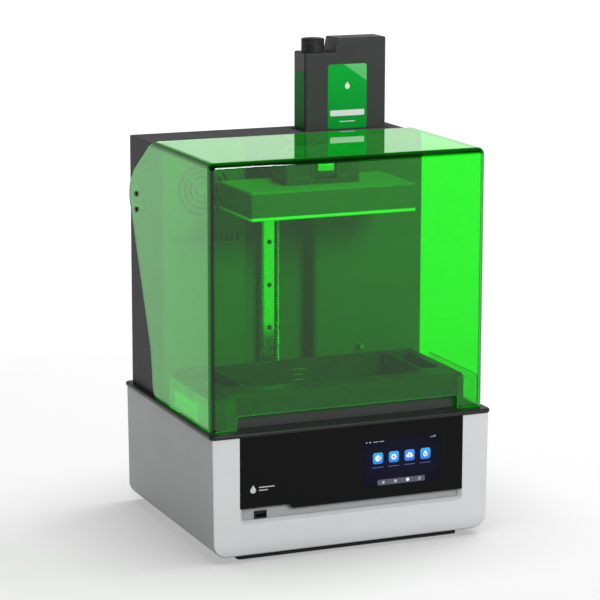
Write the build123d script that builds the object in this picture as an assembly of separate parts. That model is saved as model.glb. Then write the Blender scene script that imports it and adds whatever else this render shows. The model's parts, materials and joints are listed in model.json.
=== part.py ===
from build123d import *
import math
import os

# Resin printer with a hinged transparent cover, one vertical axis and a resin bottle.
# Millimetres.  X to the right, Y to the back, Z up.  Origin: centre of the footprint, on the floor.

# ---------------------------------------------------------------- driving dimensions
BASE_HX = 210.0          # half width of the base at its top
BASE_HX_LOW = 208.2      # half width of the base at its bottom (slight draft)
BASE_HY = 177.4          # half depth of the base
BASE_Z0 = 9.0            # underside of the base shell
BASE_Z1 = 177.0          # top rim of the base shell
BASE_R = 20.0            # radius of the long lower edges
SHEET = 3.0              # wall of the base shell

POCKET_HX = 169.5        # front recess: half width
POCKET_Z0 = 53.0         # front recess: lower edge
POCKET_D = 6.4           # front recess: depth
GLASS_Z_R = 69.7         # lower edge of the black glass, right part
GLASS_Z_L = 76.0         # lower edge of the black glass, left part
SCREEN_X0, SCREEN_X1 = 16.3, 134.0
SCREEN_Z0, SCREEN_Z1 = 87.4, 154.0

DECK_HX, DECK_HY = 213.0, 180.0
DECK_Z1 = 183.4          # top of the deck
FOOT_HX = 168.0

TOWER_HX = 202.0
TOWER_Y0, TOWER_Y1 = 32.4, 176.3
TOWER_Z1 = 550.3
TOWER_WALL = 2.0
CH_X0, CH_X1 = -76.0, 29.5      # vertical channel in the tower's front
CH_Y = 71.0                     # channel's back wall
CH_R = 7.7                      # rolled edges of the channel
VENT_X, VENT_Z, VENT_R = -140.0, 487.0, 37.0

RAIL_X0, RAIL_X1 = -43.9, -26.9
RAIL_Y0, RAIL_Y1 = 47.2, 57.2
RAIL_Z0, RAIL_Z1 = 190.0, 540.0
RAIL_HOLE_Z = [212.4, 275.7, 339.0, 402.3, 465.6, 528.9]
SCREW_X, SCREW_Y, SCREW_R = -17.3, 60.0, 4.1

PLATE_HX = 125.0                # build platform
PLATE_Y0, PLATE_Y1 = -108.0, 15.0
PLATE_Z0, PLATE_Z1 = 462.0, 502.0
SURFACE_T = 4.5
HEAD_HX = 57.0
HEAD_Y0, HEAD_Y1 = -66.0, -14.0
HEAD_Z1 = 546.0

VAT_HX = 184.0
KNOB_X, KNOB_Y = 191.7, -52.0            # vat clamp knobs
CLAMP_HX, CLAMP_Z1 = 199.0, 212.0        # outer face and top of the vat clamps
VAT_Y0, VAT_Y1 = -150.0, 28.0
VAT_Z1 = 232.0
VAT_IN_HX = 133.0
VAT_IN_Y0, VAT_IN_Y1 = -117.0, 22.0

LID_HX = 207.0
LID_Y0 = -164.2
LID_Z0, LID_Z1 = 184.0, 554.8
LID_T = 4.0
LID_R = 10.0
PIVOT_Y, PIVOT_Z = 134.0, 458.0
HUB_R = 26.0

BOT_X0, BOT_X1 = 48.0, 178.0
BOT_Y0, BOT_Y1 = 112.0, 156.0
BOT_Z0, BOT_Z1 = 457.0, 685.0
BOT_SHOULDER = 665.0
CAP_X, CAP_Y = 69.3, 134.0
CAP_R = 17.0

FIT = 0.05               # radial clearance of the running fits

os.makedirs("parts", exist_ok=True)


# ---------------------------------------------------------------- helpers
def bx(x0, x1, y0, y1, z0, z1):
    return Pos((x0 + x1) / 2, (y0 + y1) / 2, (z0 + z1) / 2) * Box(x1 - x0, y1 - y0, z1 - z0)


def rod(axis, a, b, r, s0, s1):
    """Cylinder along an axis; (a, b) are the other two coordinates in X, Y, Z order."""
    h, m = s1 - s0, (s0 + s1) / 2
    if axis == "x":
        return Pos(m, a, b) * Rot(0, 90, 0) * Cylinder(r, h)
    if axis == "y":
        return Pos(a, m, b) * Rot(90, 0, 0) * Cylinder(r, h)
    return Pos(a, b, m) * Cylinder(r, h)


def poly(points, direction, length):
    """Prism from a closed 3-D polygon."""
    return extrude(make_face(Polyline(*points, close=True)), amount=length, dir=direction)


def prism_x(yz, x0, x1):
    return poly([(x0, y, z) for y, z in yz], (1, 0, 0), x1 - x0)


def prism_y(xz, y0, y1):
    return poly([(x, y0, z) for x, z in xz], (0, 1, 0), y1 - y0)


def prism_z(xy, z0, z1):
    return poly([(x, y, z0) for x, y in xy], (0, 0, 1), z1 - z0)


def along(part, axis, test):
    return [e for e in part.edges().filter_by(axis) if test(e.center())]


def near(a, b, tol=0.2):
    return abs(a - b) < tol


def merge(*parts):
    out = parts[0]
    for p in parts[1:]:
        out = out + p
    return out


def save(shape, name):
    shape.label = name
    export_step(shape, "parts/" + name + ".step")


def group(shapes, name):
    save(Compound(children=list(shapes)), name)


def solids_of(shape):
    return [Solid(s.wrapped) for s in shape.solids()]


# ---------------------------------------------------------------- base shell
outer = prism_y([(-BASE_HX_LOW, BASE_Z0), (BASE_HX_LOW, BASE_Z0),
                 (BASE_HX, BASE_Z1), (-BASE_HX, BASE_Z1)], -BASE_HY, BASE_HY)
outer = fillet(along(outer, Axis.Y, lambda c: near(c.Z, BASE_Z0)), BASE_R)
inner = prism_y([(-BASE_HX_LOW + SHEET, BASE_Z0 + SHEET), (BASE_HX_LOW - SHEET, BASE_Z0 + SHEET),
                 (BASE_HX - SHEET, BASE_Z1 + 5), (-BASE_HX + SHEET, BASE_Z1 + 5)],
                -BASE_HY + SHEET, BASE_HY - SHEET)
inner = fillet(along(inner, Axis.Y, lambda c: near(c.Z, BASE_Z0 + SHEET)), BASE_R - SHEET)
vert = [e for e in outer.edges() if near(abs(e.center().Y), BASE_HY, 0.01)
        and abs(e.center().X) > BASE_HX - 4 and near(e.center().Z, 103, 15)]
outer = fillet(vert, 2.2)
# the recess: chamfered lower ledge and ends, deep enough to take the glass flush
ledge = prism_y([(-POCKET_HX + 6.4, POCKET_Z0 + 6.4), (POCKET_HX - 6.4, POCKET_Z0 + 6.4),
                 (POCKET_HX - 6.4, 120), (-POCKET_HX + 6.4, 120)], -BASE_HY + POCKET_D - 0.01, -BASE_HY + POCKET_D)
face_out = Pos(0, -BASE_HY, 0) * (Plane.XZ * Pos(0, (POCKET_Z0 + 160) / 2) *
                                  RectangleRounded(2 * POCKET_HX, 160 - POCKET_Z0, 7.5))
face_in = Pos(0, -BASE_HY + POCKET_D, 0) * (Plane.XZ * Pos(0, (POCKET_Z0 + 160) / 2) *
                                            RectangleRounded(2 * POCKET_HX - 2 * POCKET_D,
                                                             160 - POCKET_Z0 - 2 * POCKET_D, 1.5))
ledge = loft([face_out, face_in])
GLASS_OUT = [(-POCKET_HX, GLASS_Z_L), (-97.0, GLASS_Z_L), (-90.5, GLASS_Z_R), (POCKET_HX, GLASS_Z_R),
             (POCKET_HX, BASE_Z1 + 8), (-POCKET_HX, BASE_Z1 + 8)]
glass_room = prism_y(GLASS_OUT, -BASE_HY - 1, -BASE_HY + POCKET_D)
behind = bx(-POCKET_HX - SHEET, POCKET_HX + SHEET, -BASE_HY - 1, -BASE_HY + POCKET_D + SHEET,
            POCKET_Z0 - SHEET, BASE_Z1 + 6)
base_shell = outer - (inner - behind) - ledge - glass_room
# rebate and opening for the bottom plate, opening for the rear panel, screen and port cut-outs
base_shell -= bx(-176, 176, -150, 150, BASE_Z0 - 1, BASE_Z0 + SHEET + 1)
base_shell -= bx(-184.2, 184.2, -158.2, 158.2, BASE_Z0 - 1, BASE_Z0 + 1.5)
base_shell -= bx(-180, 180, BASE_HY - SHEET - 1, BASE_HY + 1, 36, 160)
base_shell -= bx(-185.2, 185.2, BASE_HY - 2.0, BASE_HY + 1, 31, 165)
base_shell -= bx(SCREEN_X0 + 3, SCREEN_X1 - 3, -BASE_HY, -BASE_HY + 12, SCREEN_Z0 + 3, SCREEN_Z1 - 3)
base_shell -= bx(-146.1, -127.9, -BASE_HY + 2, -BASE_HY + 12, 58.7, 69.4)
save(base_shell, "base_shell")

bottom = bx(-184, 184, -158, 158, BASE_Z0, BASE_Z0 + 1.5)
for i in range(9):                                   # air slots under the exposure unit
    bottom -= bx(-60 + i * 14, -54 + i * 14, -70, 20, 0, 20)
save(bottom, "bottom_plate")

rails = []
for s in (-1, 1):
    r = bx(-FOOT_HX, FOOT_HX, s * 165 if s < 0 else 141, -141 if s < 0 else 165, 0, BASE_Z0)
    r = fillet(r.edges().filter_by(Axis.Z), 6)
    rails.append(r)
group([p.solid() for p in rails], "foot_rails")

# ---------------------------------------------------------------- front: glass, screen, port
glass = prism_y([(-POCKET_HX + 0.2, GLASS_Z_L + 0.1), (-97.0 - 0.1, GLASS_Z_L + 0.1), (-90.5 + 0.1, GLASS_Z_R + 0.1),
                 (POCKET_HX - 0.2, GLASS_Z_R + 0.1), (POCKET_HX - 0.2, BASE_Z1 - 0.3),
                 (-POCKET_HX + 0.2, BASE_Z1 - 0.3)], -BASE_HY, -BASE_HY + POCKET_D)
glass -= bx(SCREEN_X0, SCREEN_X1, -BASE_HY - 1, -BASE_HY + 20, SCREEN_Z0, SCREEN_Z1)
save(glass, "front_glass")

screen = merge(bx(SCREEN_X0 + 0.1, SCREEN_X1 - 0.1, -BASE_HY + 0.1, -BASE_HY + POCKET_D, SCREEN_Z0 + 0.1, SCREEN_Z1 - 0.1),
               bx(SCREEN_X0 + 3.4, SCREEN_X1 - 3.4, -BASE_HY + POCKET_D - 1, -BASE_HY + 15, SCREEN_Z0 + 3.4, SCREEN_Z1 - 3.4))
save(screen, "touch_screen")

port = bx(-146, -128, -BASE_HY + 4.6, -BASE_HY + 26, 58.8, 69.3)
port -= bx(-144.6, -129.4, -BASE_HY, -BASE_HY + 20, 60.3, 67.8)
port += bx(-143.4, -130.6, -BASE_HY + 6.5, -BASE_HY + 22, 64.6, 66.6)
save(port, "usb_port")

# ---------------------------------------------------------------- rear panel, power, fan
FAN_X, FAN_Z, FAN_S = 120.0, 96.0, 80.0
panel = bx(-185, 185, BASE_HY - 2.0, BASE_HY, 31.2, 164.8)
for k in range(-4, 5):                                # fan grille
    w = math.sqrt(max(0.0, 36.0 ** 2 - (k * 8.0) ** 2))
    panel -= bx(FAN_X - w, FAN_X + w, BASE_HY - 5, BASE_HY + 5, FAN_Z + k * 8.0 - 2.4, FAN_Z + k * 8.0 + 2.4)
for k in range(12):                                   # intake slots
    panel -= bx(-60 + k * 9, -56 + k * 9, BASE_HY - 5, BASE_HY + 5, 70, 130)
panel -= bx(-168.2, -139.8, BASE_HY - 5, BASE_HY + 5, 50.8, 74.2)
panel -= bx(-128.2, -107.8, BASE_HY - 5, BASE_HY + 5, 50.8, 74.2)
save(panel, "rear_panel")

inlet = merge(bx(-171, -137, BASE_HY, BASE_HY + 1.6, 48, 77), bx(-168, -140, BASE_HY - 24, BASE_HY, 51, 74))
inlet -= bx(-165.5, -142.5, BASE_HY - 18, BASE_HY + 3, 53.5, 71.5)
for px, pz in ((-161, 62.5), (-154, 66), (-147, 62.5)):
    inlet += bx(px - 1, px + 1, BASE_HY - 20, BASE_HY - 3, pz - 2.4, pz + 2.4)
save(inlet, "power_inlet")

frame = merge(bx(-131, -105, BASE_HY, BASE_HY + 1.6, 48, 77), bx(-128, -108, BASE_HY - 20, BASE_HY, 51, 74))
frame -= bx(-125.5, -110.5, BASE_HY - 14, BASE_HY + 3, 53, 72)
frame += rod("x", BASE_HY - 3, 62.5, 1.5, -126, -110)
save(frame, "switch_frame")
rocker = prism_x([(BASE_HY - 8, 56), (BASE_HY - 8, 69), (BASE_HY + 0.2, 71), (BASE_HY - 0.6, 62.5), (BASE_HY + 2.2, 54)], -125, -111)
rocker -= rod("x", BASE_HY - 3, 62.5, 1.5 + FIT, -130, -100)
save(rocker, "power_rocker")


def fan(cx, cz, y0, size, depth, axis_r=3.0):
    """Axial fan along Y: square frame with a hub stator, and a bladed rotor on its pin."""
    y1 = y0 + depth
    r_in = size / 2 - 3.0
    fr = bx(cx - size / 2, cx + size / 2, y0, y1, cz - size / 2, cz + size / 2)
    fr = fillet(fr.edges().filter_by(Axis.Y), 5)
    fr -= rod("y", cx, cz, r_in, y0 - 1, y1 + 1)
    hub = rod("y", cx, cz, 14.0, y0, y0 + 3.0)
    for a in range(4):
        hub += Pos(cx, y0 + 1.5, cz) * Rot(0, 45 + 90 * a, 0) * Pos((r_in + 6) / 2 + 3, 0, 0) * Box(r_in - 3, 3.0, 4.0)
    fr = fr + hub + rod("y", cx, cz, axis_r, y0, y1 - 4)
    for sx in (-1, 1):
        for sz in (-1, 1):
            fr -= rod("y", cx + sx * (size / 2 - 4.25), cz + sz * (size / 2 - 4.25), 2.15, y0 - 1, y1 + 1)
    ro = rod("y", cx, cz, 14.0, y0 + 4.0, y1 - 1.0)
    for a in range(7):
        blade = Pos(cx, (y0 + y1) / 2 + 1.5, cz) * Rot(0, a * 360 / 7, 0) * Pos((14 + r_in - 1) / 2 - 0.5, 0, 0) * \
            Rot(38, 0, 0) * Box(r_in - 1 - 14 + 1, 1.8, depth * 0.78)
        ro += blade
    ro = ro & rod("y", cx, cz, r_in - 1.0, y0 + 4.0, y1 - 1.0)
    ro -= rod("y", cx, cz, axis_r + FIT, y0, y1 - 3.5)
    return fr, ro


fr, ro = fan(FAN_X, FAN_Z, BASE_HY - 2.0 - 25.0, FAN_S, 25.0)
save(fr, "cooling_fan_frame")
save(ro, "cooling_fan_rotor")

# ---------------------------------------------------------------- electronics on the bottom plate
psu = bx(-186, -106, -40, 130, 12, 54)
psu -= bx(-183, -109, 112, 131, 30, 60)
for k in range(10):
    psu -= bx(-174, -118, -30 + k * 13, -24 + k * 13, 52.5, 60)
save(psu, "power_supply")

board = bx(110, 186, -60, 120, 18, 19.6)
for sx in (116, 180):
    for sy in (-54, 114):
        board += rod("z", sx, sy, 3.0, 12, 18)
board += bx(135, 160, -5, 20, 19.6, 22)
board += bx(132, 163, -8, 23, 22, 34)
for k in range(6):
    board += bx(114, 124, -48 + k * 24, -36 + k * 24, 19.6, 29)
for k in range(4):
    board += rod("z", 173, -40 + k * 18, 4.5, 19.6, 34)
save(board, "main_board")

# ---------------------------------------------------------------- exposure unit
LE_HX, LE_Y0, LE_Y1 = 118.0, -106.0, 13.0
sink = bx(-104, 104, -96, 3, 66, 72)
for k in range(18):
    x = -102 + k * 12
    sink += bx(x - 1, x + 1, -96, 3, 34, 66)
save(sink, "led_heatsink")
save(bx(-LE_HX, LE_HX, LE_Y0, LE_Y1, 72, 75), "led_board")
leds = []
for i in range(8):
    for j in range(4):
        c = rod("z", -98 + i * 28, -91 + j * 29.67, 6.0, 75, 79)
        leds.append(fillet(c.edges().filter_by(GeomType.CIRCLE).sort_by(Axis.Z)[-1:], 2.0).solid())
group(leds, "led_emitters")
hood = bx(-LE_HX, LE_HX, LE_Y0, LE_Y1, 75, 168) - bx(-LE_HX + 1.5, LE_HX - 1.5, LE_Y0 + 1.5, LE_Y1 - 1.5, 70, 180)
save(hood, "light_hood")
save(bx(-LE_HX, LE_HX, LE_Y0, LE_Y1, 168, 171), "fresnel_lens")

# ---------------------------------------------------------------- deck and its LCD
deck = Pos(0, 0, BASE_Z1) * extrude(RectangleRounded(2 * DECK_HX, 2 * DECK_HY, 8), DECK_Z1 - BASE_Z1)
deck = fillet([e for e in deck.edges() if abs(e.center().X) > DECK_HX - 9 or abs(e.center().Y) > DECK_HY - 9
               if near(e.center().Z, BASE_Z1, 0.01) or near(e.center().Z, DECK_Z1, 0.01)], 2.6)
deck -= bx(-114, 114, -102, 9, BASE_Z1 - 1, DECK_Z1 + 1)
deck -= bx(-121.1, 121.1, -108.6, 15.6, DECK_Z1 - 3.4, DECK_Z1 + 1)
deck -= rod("z", SCREW_X, SCREW_Y, 11.2, BASE_Z1 - 1, DECK_Z1 + 1)      # motor pilot
deck -= bx(110, 130, 90, 110, BASE_Z1 - 1, DECK_Z1 + 1)                 # cable way up into the tower
save(deck, "deck")
lcd = bx(-121, 121, -108.5, 15.5, DECK_Z1 - 3.4, DECK_Z1)
save(lcd, "lcd_panel")

# ---------------------------------------------------------------- vat
vat = bx(-VAT_HX, VAT_HX, VAT_Y0, VAT_Y1, DECK_Z1, VAT_Z1)
vat = fillet(vat.edges().filter_by(Axis.Z), 5)
vat = chamfer([e for e in vat.edges() if near(e.center().Z, VAT_Z1, 0.01) and near(e.center().Y, VAT_Y0, 0.5)], 4.0)
cav = bx(-VAT_IN_HX, VAT_IN_HX, VAT_IN_Y0, VAT_IN_Y1, DECK_Z1 - 1, VAT_Z1 + 1)
cav = fillet(cav.edges().filter_by(Axis.Z), 8)
vat -= cav
# stepped pockets in the wide side rims
for s in (-1, 1):
    x0, x1 = sorted((s * 139.0, s * 166.0))
    p = bx(x0, x1, -104, 14, VAT_Z1 - 14, VAT_Z1 + 1)
    vat -= fillet(p.edges().filter_by(Axis.Z), 6)
    x0, x1 = sorted((s * (VAT_HX - 5.0), s * (VAT_HX + 1)))
    vat -= bx(x0, x1, KNOB_Y - 18.4, KNOB_Y + 18.4, 206.0, 210.2)
fr_x, fr_y0, fr_y1 = 148.0, -132.0, 26.0
vat -= bx(-fr_x - 0.2, fr_x + 0.2, fr_y0 - 0.2, fr_y1 + 0.2, DECK_Z1 - 1, DECK_Z1 + 4.1)
save(vat, "vat_body")
film_frame = bx(-fr_x, fr_x, fr_y0, fr_y1, DECK_Z1, DECK_Z1 + 3.7)
film_frame -= bx(-VAT_IN_HX, VAT_IN_HX, VAT_IN_Y0, VAT_IN_Y1, DECK_Z1 - 1, DECK_Z1 + 5)
save(film_frame, "film_frame")
save(bx(-fr_x, fr_x, fr_y0, fr_y1, DECK_Z1 + 3.7, DECK_Z1 + 4.1), "release_film")

# low side clamps: a lip reaches into a slot in the vat's side, the knob stays below the rim
clamps, knobs = [], {}
for s, side in ((-1, "left"), (1, "right")):
    xa, xb = sorted((s * (VAT_HX + 0.4), s * CLAMP_HX))
    blk = bx(xa, xb, KNOB_Y - 45, KNOB_Y + 45, DECK_Z1, CLAMP_Z1)
    blk = fillet([e for e in blk.edges().filter_by(Axis.Z) if near(abs(e.center().X), CLAMP_HX, 0.1)], 4)
    xa, xb = sorted((s * (CLAMP_HX - 1.5), s * (CLAMP_HX + 1)))
    blk -= bx(xa, xb, KNOB_Y - 46, KNOB_Y + 46, 198, 201.5)
    xa, xb = sorted((s * (VAT_HX - 4.6), s * (VAT_HX + 0.8)))
    blk += bx(xa, xb, KNOB_Y - 18, KNOB_Y + 18, 206.4, 209.8)
    blk += rod("z", s * KNOB_X, KNOB_Y, 3.0, CLAMP_Z1 - 4, CLAMP_Z1 + 8)
    clamps.append(blk.solid())
    k = rod("z", s * KNOB_X, KNOB_Y, 6.8, CLAMP_Z1 + 0.4, CLAMP_Z1 + 10.6)
    k = fillet(k.edges().filter_by(GeomType.CIRCLE).sort_by(Axis.Z)[-1:], 1.2)
    for a in range(12):
        k -= Pos(s * KNOB_X, KNOB_Y, 0) * Rot(0, 0, a * 30) * Pos(7.4, 0, CLAMP_Z1 + 5) * Cylinder(1.1, 30)
    k -= rod("z", s * KNOB_X, KNOB_Y, 3.0 + FIT, CLAMP_Z1 - 1, CLAMP_Z1 + 8.3)
    knobs[side] = k
group(clamps, "vat_clamps")
save(knobs["left"], "vat_knob_left")
save(knobs["right"], "vat_knob_right")

# ---------------------------------------------------------------- tower shell
T = TOWER_WALL
# plan outline with the channel, rolled corners, and the same outline one sheet further in
plan = Polyline((-TOWER_HX, TOWER_Y0), (CH_X0, TOWER_Y0), (CH_X0, CH_Y), (CH_X1, CH_Y), (CH_X1, TOWER_Y0),
                (TOWER_HX, TOWER_Y0), (TOWER_HX, TOWER_Y1), (-TOWER_HX, TOWER_Y1), close=True)
plan = make_face(plan)


def corner(face, radius, test):
    return fillet([v for v in face.vertices() if test(v)], radius)


plan = corner(plan, CH_R, lambda v: near(v.Y, TOWER_Y0) and near(abs(v.X - (CH_X0 + CH_X1) / 2), (CH_X1 - CH_X0) / 2))
plan = corner(plan, 4.0, lambda v: near(v.Y, CH_Y) and CH_X0 - 1 < v.X < CH_X1 + 1)
plan = corner(plan, 6.5, lambda v: near(v.Y, TOWER_Y0) and near(abs(v.X), TOWER_HX))
plan = corner(plan, 3.0, lambda v: near(v.Y, TOWER_Y1) and near(abs(v.X), TOWER_HX))
inside = offset(plan, amount=-T)
shell = Pos(0, 0, DECK_Z1) * extrude(plan, TOWER_Z1 - T - DECK_Z1, dir=(0, 0, 1))
shell -= Pos(0, 0, DECK_Z1) * extrude(inside, TOWER_Z1 - T - DECK_Z1, dir=(0, 0, 1))
roof = bx(-TOWER_HX, TOWER_HX, TOWER_Y0, TOWER_Y1, TOWER_Z1 - T, TOWER_Z1)
roof = fillet(along(roof, Axis.Z, lambda c: near(c.Y, TOWER_Y0)), 6.5)
roof = fillet(along(roof, Axis.Z, lambda c: near(c.Y, TOWER_Y1)), 3.0)
roof = fillet([e for e in roof.edges() if near(e.center().Z, TOWER_Z1, 0.01)], 1.9)
shell = shell + roof
# round vent: rings of slots broken by diagonal spokes
for ring in range(4):
    ro_, ri_ = VENT_R - ring * 8.4, VENT_R - ring * 8.4 - 3.6
    seg = rod("y", VENT_X, VENT_Z, ro_, TOWER_Y0 - 2, TOWER_Y0 + 5) - rod("y", VENT_X, VENT_Z, ri_, TOWER_Y0 - 3, TOWER_Y0 + 6)
    for a in (45, 135):
        seg -= Pos(VENT_X, TOWER_Y0 + 1.5, VENT_Z) * Rot(0, a, 0) * Box(90, 20, 4.4)
    shell -= seg
for k in range(12):                                   # row of slots below the round vent
    x = -186 + 2.7 + k * 8.45
    shell -= bx(x - 1.9, x + 1.9, TOWER_Y0 - 2, TOWER_Y0 + 5, 411.5, 421.5)
# opening in the top for the bottle well, side openings for the hinge hubs, rear service opening
shell -= bx(BOT_X0 - 2.6, BOT_X1 + 2.6, BOT_Y0 - 2.6, BOT_Y1 + 2.6, TOWER_Z1 - 10, TOWER_Z1 + 5)
shell -= rod("x", PIVOT_Y, PIVOT_Z, HUB_R + 0.6, -TOWER_HX - 2, -TOWER_HX + 5)
shell -= rod("x", PIVOT_Y, PIVOT_Z, HUB_R + 0.6, TOWER_HX - 5, TOWER_HX + 2)
shell -= bx(-184, 184, TOWER_Y1 - 5, TOWER_Y1 + 5, 200, 535)

cover = bx(-192, 192, TOWER_Y1 - T - 1.6, TOWER_Y1 - T, 192, 543)
for k in range(14):
    cover -= bx(-170 + k * 6.0, -167 + k * 6.0, TOWER_Y1 - 10, TOWER_Y1 + 5, 462, 512)
rc_holes = [(sx, z) for sx in (-188, 188) for z in (230, 367, 505)]
save(cover, "tower_rear_cover")
rc = []
for sx, z in rc_holes:
    h = rod("y", sx, z, 3.4, TOWER_Y1, TOWER_Y1 + 1.8)
    h = fillet(h.edges().filter_by(GeomType.CIRCLE).sort_by(Axis.Y)[-1:], 1.2)
    h -= rod("y", sx, z, 1.3, TOWER_Y1 + 0.6, TOWER_Y1 + 3)
    rc.append(h.solid())
group(rc, "rear_cover_screws")

# ---------------------------------------------------------------- vertical axis, fixed side
column = bx(RAIL_X0, RAIL_X1, RAIL_Y1, CH_Y, DECK_Z1, 547)
save(column, "z_column")
rail = bx(RAIL_X0, RAIL_X1, RAIL_Y0, RAIL_Y1, RAIL_Z0, RAIL_Z1)
for x in (RAIL_X0, RAIL_X1):
    rail -= rod("z", x, RAIL_Y0 + 4.2, 1.6, RAIL_Z0 - 1, RAIL_Z1 + 1)
rail = chamfer(along(rail, Axis.Z, lambda c: near(c.Y, RAIL_Y0, 0.05)), 0.8)
screws = []
rx = (RAIL_X0 + RAIL_X1) / 2
for z in RAIL_HOLE_Z:
    rail -= rod("y", rx, z, 3.8, RAIL_Y0 - 1, RAIL_Y0 + 4.5)
    rail -= rod("y", rx, z, 2.2, RAIL_Y0, RAIL_Y1 + 1)
    s = rod("y", rx, z, 3.3, RAIL_Y0 + 1.0, RAIL_Y0 + 4.5) + rod("y", rx, z, 2.1, RAIL_Y0 + 4.5, RAIL_Y1)
    s -= rod("y", rx, z, 1.5, RAIL_Y0, RAIL_Y0 + 3.0)
    screws.append(s.solid())
save(rail, "z_rail")
group(screws, "rail_screws")
motor = bx(SCREW_X - 21.15, SCREW_X + 21.15, SCREW_Y - 21.15, SCREW_Y + 21.15, BASE_Z1 - 48, BASE_Z1)
motor = chamfer(motor.edges().filter_by(Axis.Z), 4)
motor = motor + rod("z", SCREW_X, SCREW_Y, 11.0, BASE_Z1, BASE_Z1 + 2)
motor -= rod("z", SCREW_X, SCREW_Y, 2.5 + FIT, BASE_Z1 - 40, BASE_Z1 + 5)
save(motor, "z_motor")
top_b = bx(RAIL_X1 + 0.2, -8.0, 50.5, CH_Y, 540.5, 547.0) - rod("z", SCREW_X, SCREW_Y, SCREW_R + FIT, 530, 560)
save(top_b, "top_bearing")

# rotating side of the drive
save(rod("z", SCREW_X, SCREW_Y, 2.5, BASE_Z1 - 39, 200.0), "motor_shaft")
coup = rod("z", SCREW_X, SCREW_Y, 9.0, 189.0, 211.0)
coup -= rod("z", SCREW_X, SCREW_Y, 2.5, 188, 200.0)
coup -= rod("z", SCREW_X, SCREW_Y, SCREW_R, 202.0, 215)
coup -= rod("z", SCREW_X, SCREW_Y, 2.5, 188, 203)
coup = chamfer(coup.edges().filter_by(GeomType.CIRCLE).filter_by(lambda e: near(e.radius, 9.0, 0.01)), 0.8)
for z, a in ((199.6, 0), (203.4, 180)):
    coup -= Pos(SCREW_X, SCREW_Y, z) * Rot(0, 0, a) * Pos(4, 0, 0) * Box(14, 24, 1.0)
save(coup, "shaft_coupler")
save(rod("z", SCREW_X, SCREW_Y, SCREW_R, 204.6, 544.0), "lead_screw")

# ---------------------------------------------------------------- vertical axis, moving side
C0, C1 = RAIL_X0 - 4.1, RAIL_X1 + 4.0
car = bx(C0, C1, 42.0, 55.0, 500.0, 538.0)
car -= bx(RAIL_X0 - 0.08, RAIL_X1 + 0.08, RAIL_Y0 - 0.08, 60, 490, 545)
for x in (RAIL_X0, RAIL_X1):
    car += rod("z", x, RAIL_Y0 + 4.2, 1.5, 503.0, 535.0) & bx(RAIL_X0 - 2, RAIL_X1 + 2, 42, 56, 490, 545)
save(car, "rail_carriage")

arm = bx(-56, -3, 36, 42, 476, HEAD_Z1)                               # plate on the rail carriage
arm += bx(-25.0, -4.0, 42, 69, 490, 494)                              # lug over the lead nut
arm += bx(-56, 20, 12, 36, 507, HEAD_Z1)                              # neck
arm += bx(-46, 46, HEAD_Y1, 26, 507, HEAD_Z1)                         # cantilever
arm = fillet(along(arm, Axis.Z, lambda c: near(c.X, 46, 0.1) or near(c.X, 20, 0.1) or (near(c.X, -56, 0.1) and near(c.Y, 12, 0.1))), 4)
for x in (-30, -10, 10, 30):                                          # weight pockets between ribs
    arm -= bx(x - 8, x + 8, HEAD_Y1 + 6, 20, 518, HEAD_Z1 + 1)
arm -= rod("z", SCREW_X, SCREW_Y, 5.3, 480, 500)
arm_holes = [(-51.5, 532), (-51.5, 508), (-19.5, 532), (-19.5, 508)]
save(arm, "arm_bracket")
nut = rod("z", SCREW_X, SCREW_Y, 8.4, 485.8, 490.0) + rod("z", SCREW_X, SCREW_Y, 5.2, 490.0, 502.0)
nut -= rod("z", SCREW_X, SCREW_Y, SCREW_R + FIT, 480, 510)
save(nut, "lead_nut")

head = bx(-HEAD_HX, HEAD_HX, HEAD_Y0, HEAD_Y1, PLATE_Z1, HEAD_Z1)
head = fillet(along(head, Axis.Z, lambda c: near(c.Y, HEAD_Y0, 0.1)), 5)
head = chamfer([e for e in head.edges() if near(e.center().Z, HEAD_Z1, 0.01) and e.center().Y < HEAD_Y1 - 1], 1.5)
head -= bx(-13, 21, HEAD_Y0 - 1, HEAD_Y0 + 12, 508, HEAD_Z1 + 1)      # latch slot
for x0 in (-34, 26):                                                  # shallow flutes beside the slot
    head -= bx(x0, x0 + 16, HEAD_Y0 - 1, HEAD_Y0 + 1.5, 512, 536)
save(head, "head_block")
PIN_Y, PIN_Z = HEAD_Y0 + 6.0, 539.0
pin_l = rod("x", PIN_Y, PIN_Z, 2.0, -13.0, 21.0)
save(pin_l, "lever_pin")
lev = bx(-11.5, 19.5, PIN_Y - 4.0, PIN_Y + 1.5, 512, 542.0)
lev += rod("x", PIN_Y, PIN_Z, 4.0, -11.5, 19.5)
lev += bx(-8, 16, PIN_Y - 7.5, PIN_Y - 3.9, 520.5, 529.0)             # thumb tab
lev -= rod("x", PIN_Y, PIN_Z, 2.0 + FIT, -20, 30)
save(lev, "release_lever")

plat = bx(-PLATE_HX, PLATE_HX, PLATE_Y0, PLATE_Y1, PLATE_Z0 + SURFACE_T, PLATE_Z1)
plat = fillet(plat.edges().filter_by(Axis.Z), 3)
plat = chamfer([e for e in plat.edges() if near(e.center().Z, PLATE_Z1, 0.01)], 2.4)
plat -= bx(-PLATE_HX + 6, PLATE_HX - 6, PLATE_Y0 + 6, PLATE_Y1 - 6, PLATE_Z0, PLATE_Z1 - 8)   # hollow casting
plat += bx(-HEAD_HX, HEAD_HX, HEAD_Y0, HEAD_Y1, PLATE_Z0 + SURFACE_T, PLATE_Z1 - 8)
save(plat, "platform_body")
surf = bx(-PLATE_HX, PLATE_HX, PLATE_Y0, PLATE_Y1, PLATE_Z0, PLATE_Z0 + SURFACE_T)
surf = fillet(surf.edges().filter_by(Axis.Z), 3)
surf = chamfer([e for e in surf.edges() if near(e.center().Z, PLATE_Z0, 0.01)], 0.6)
save(surf, "build_surface")

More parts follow.
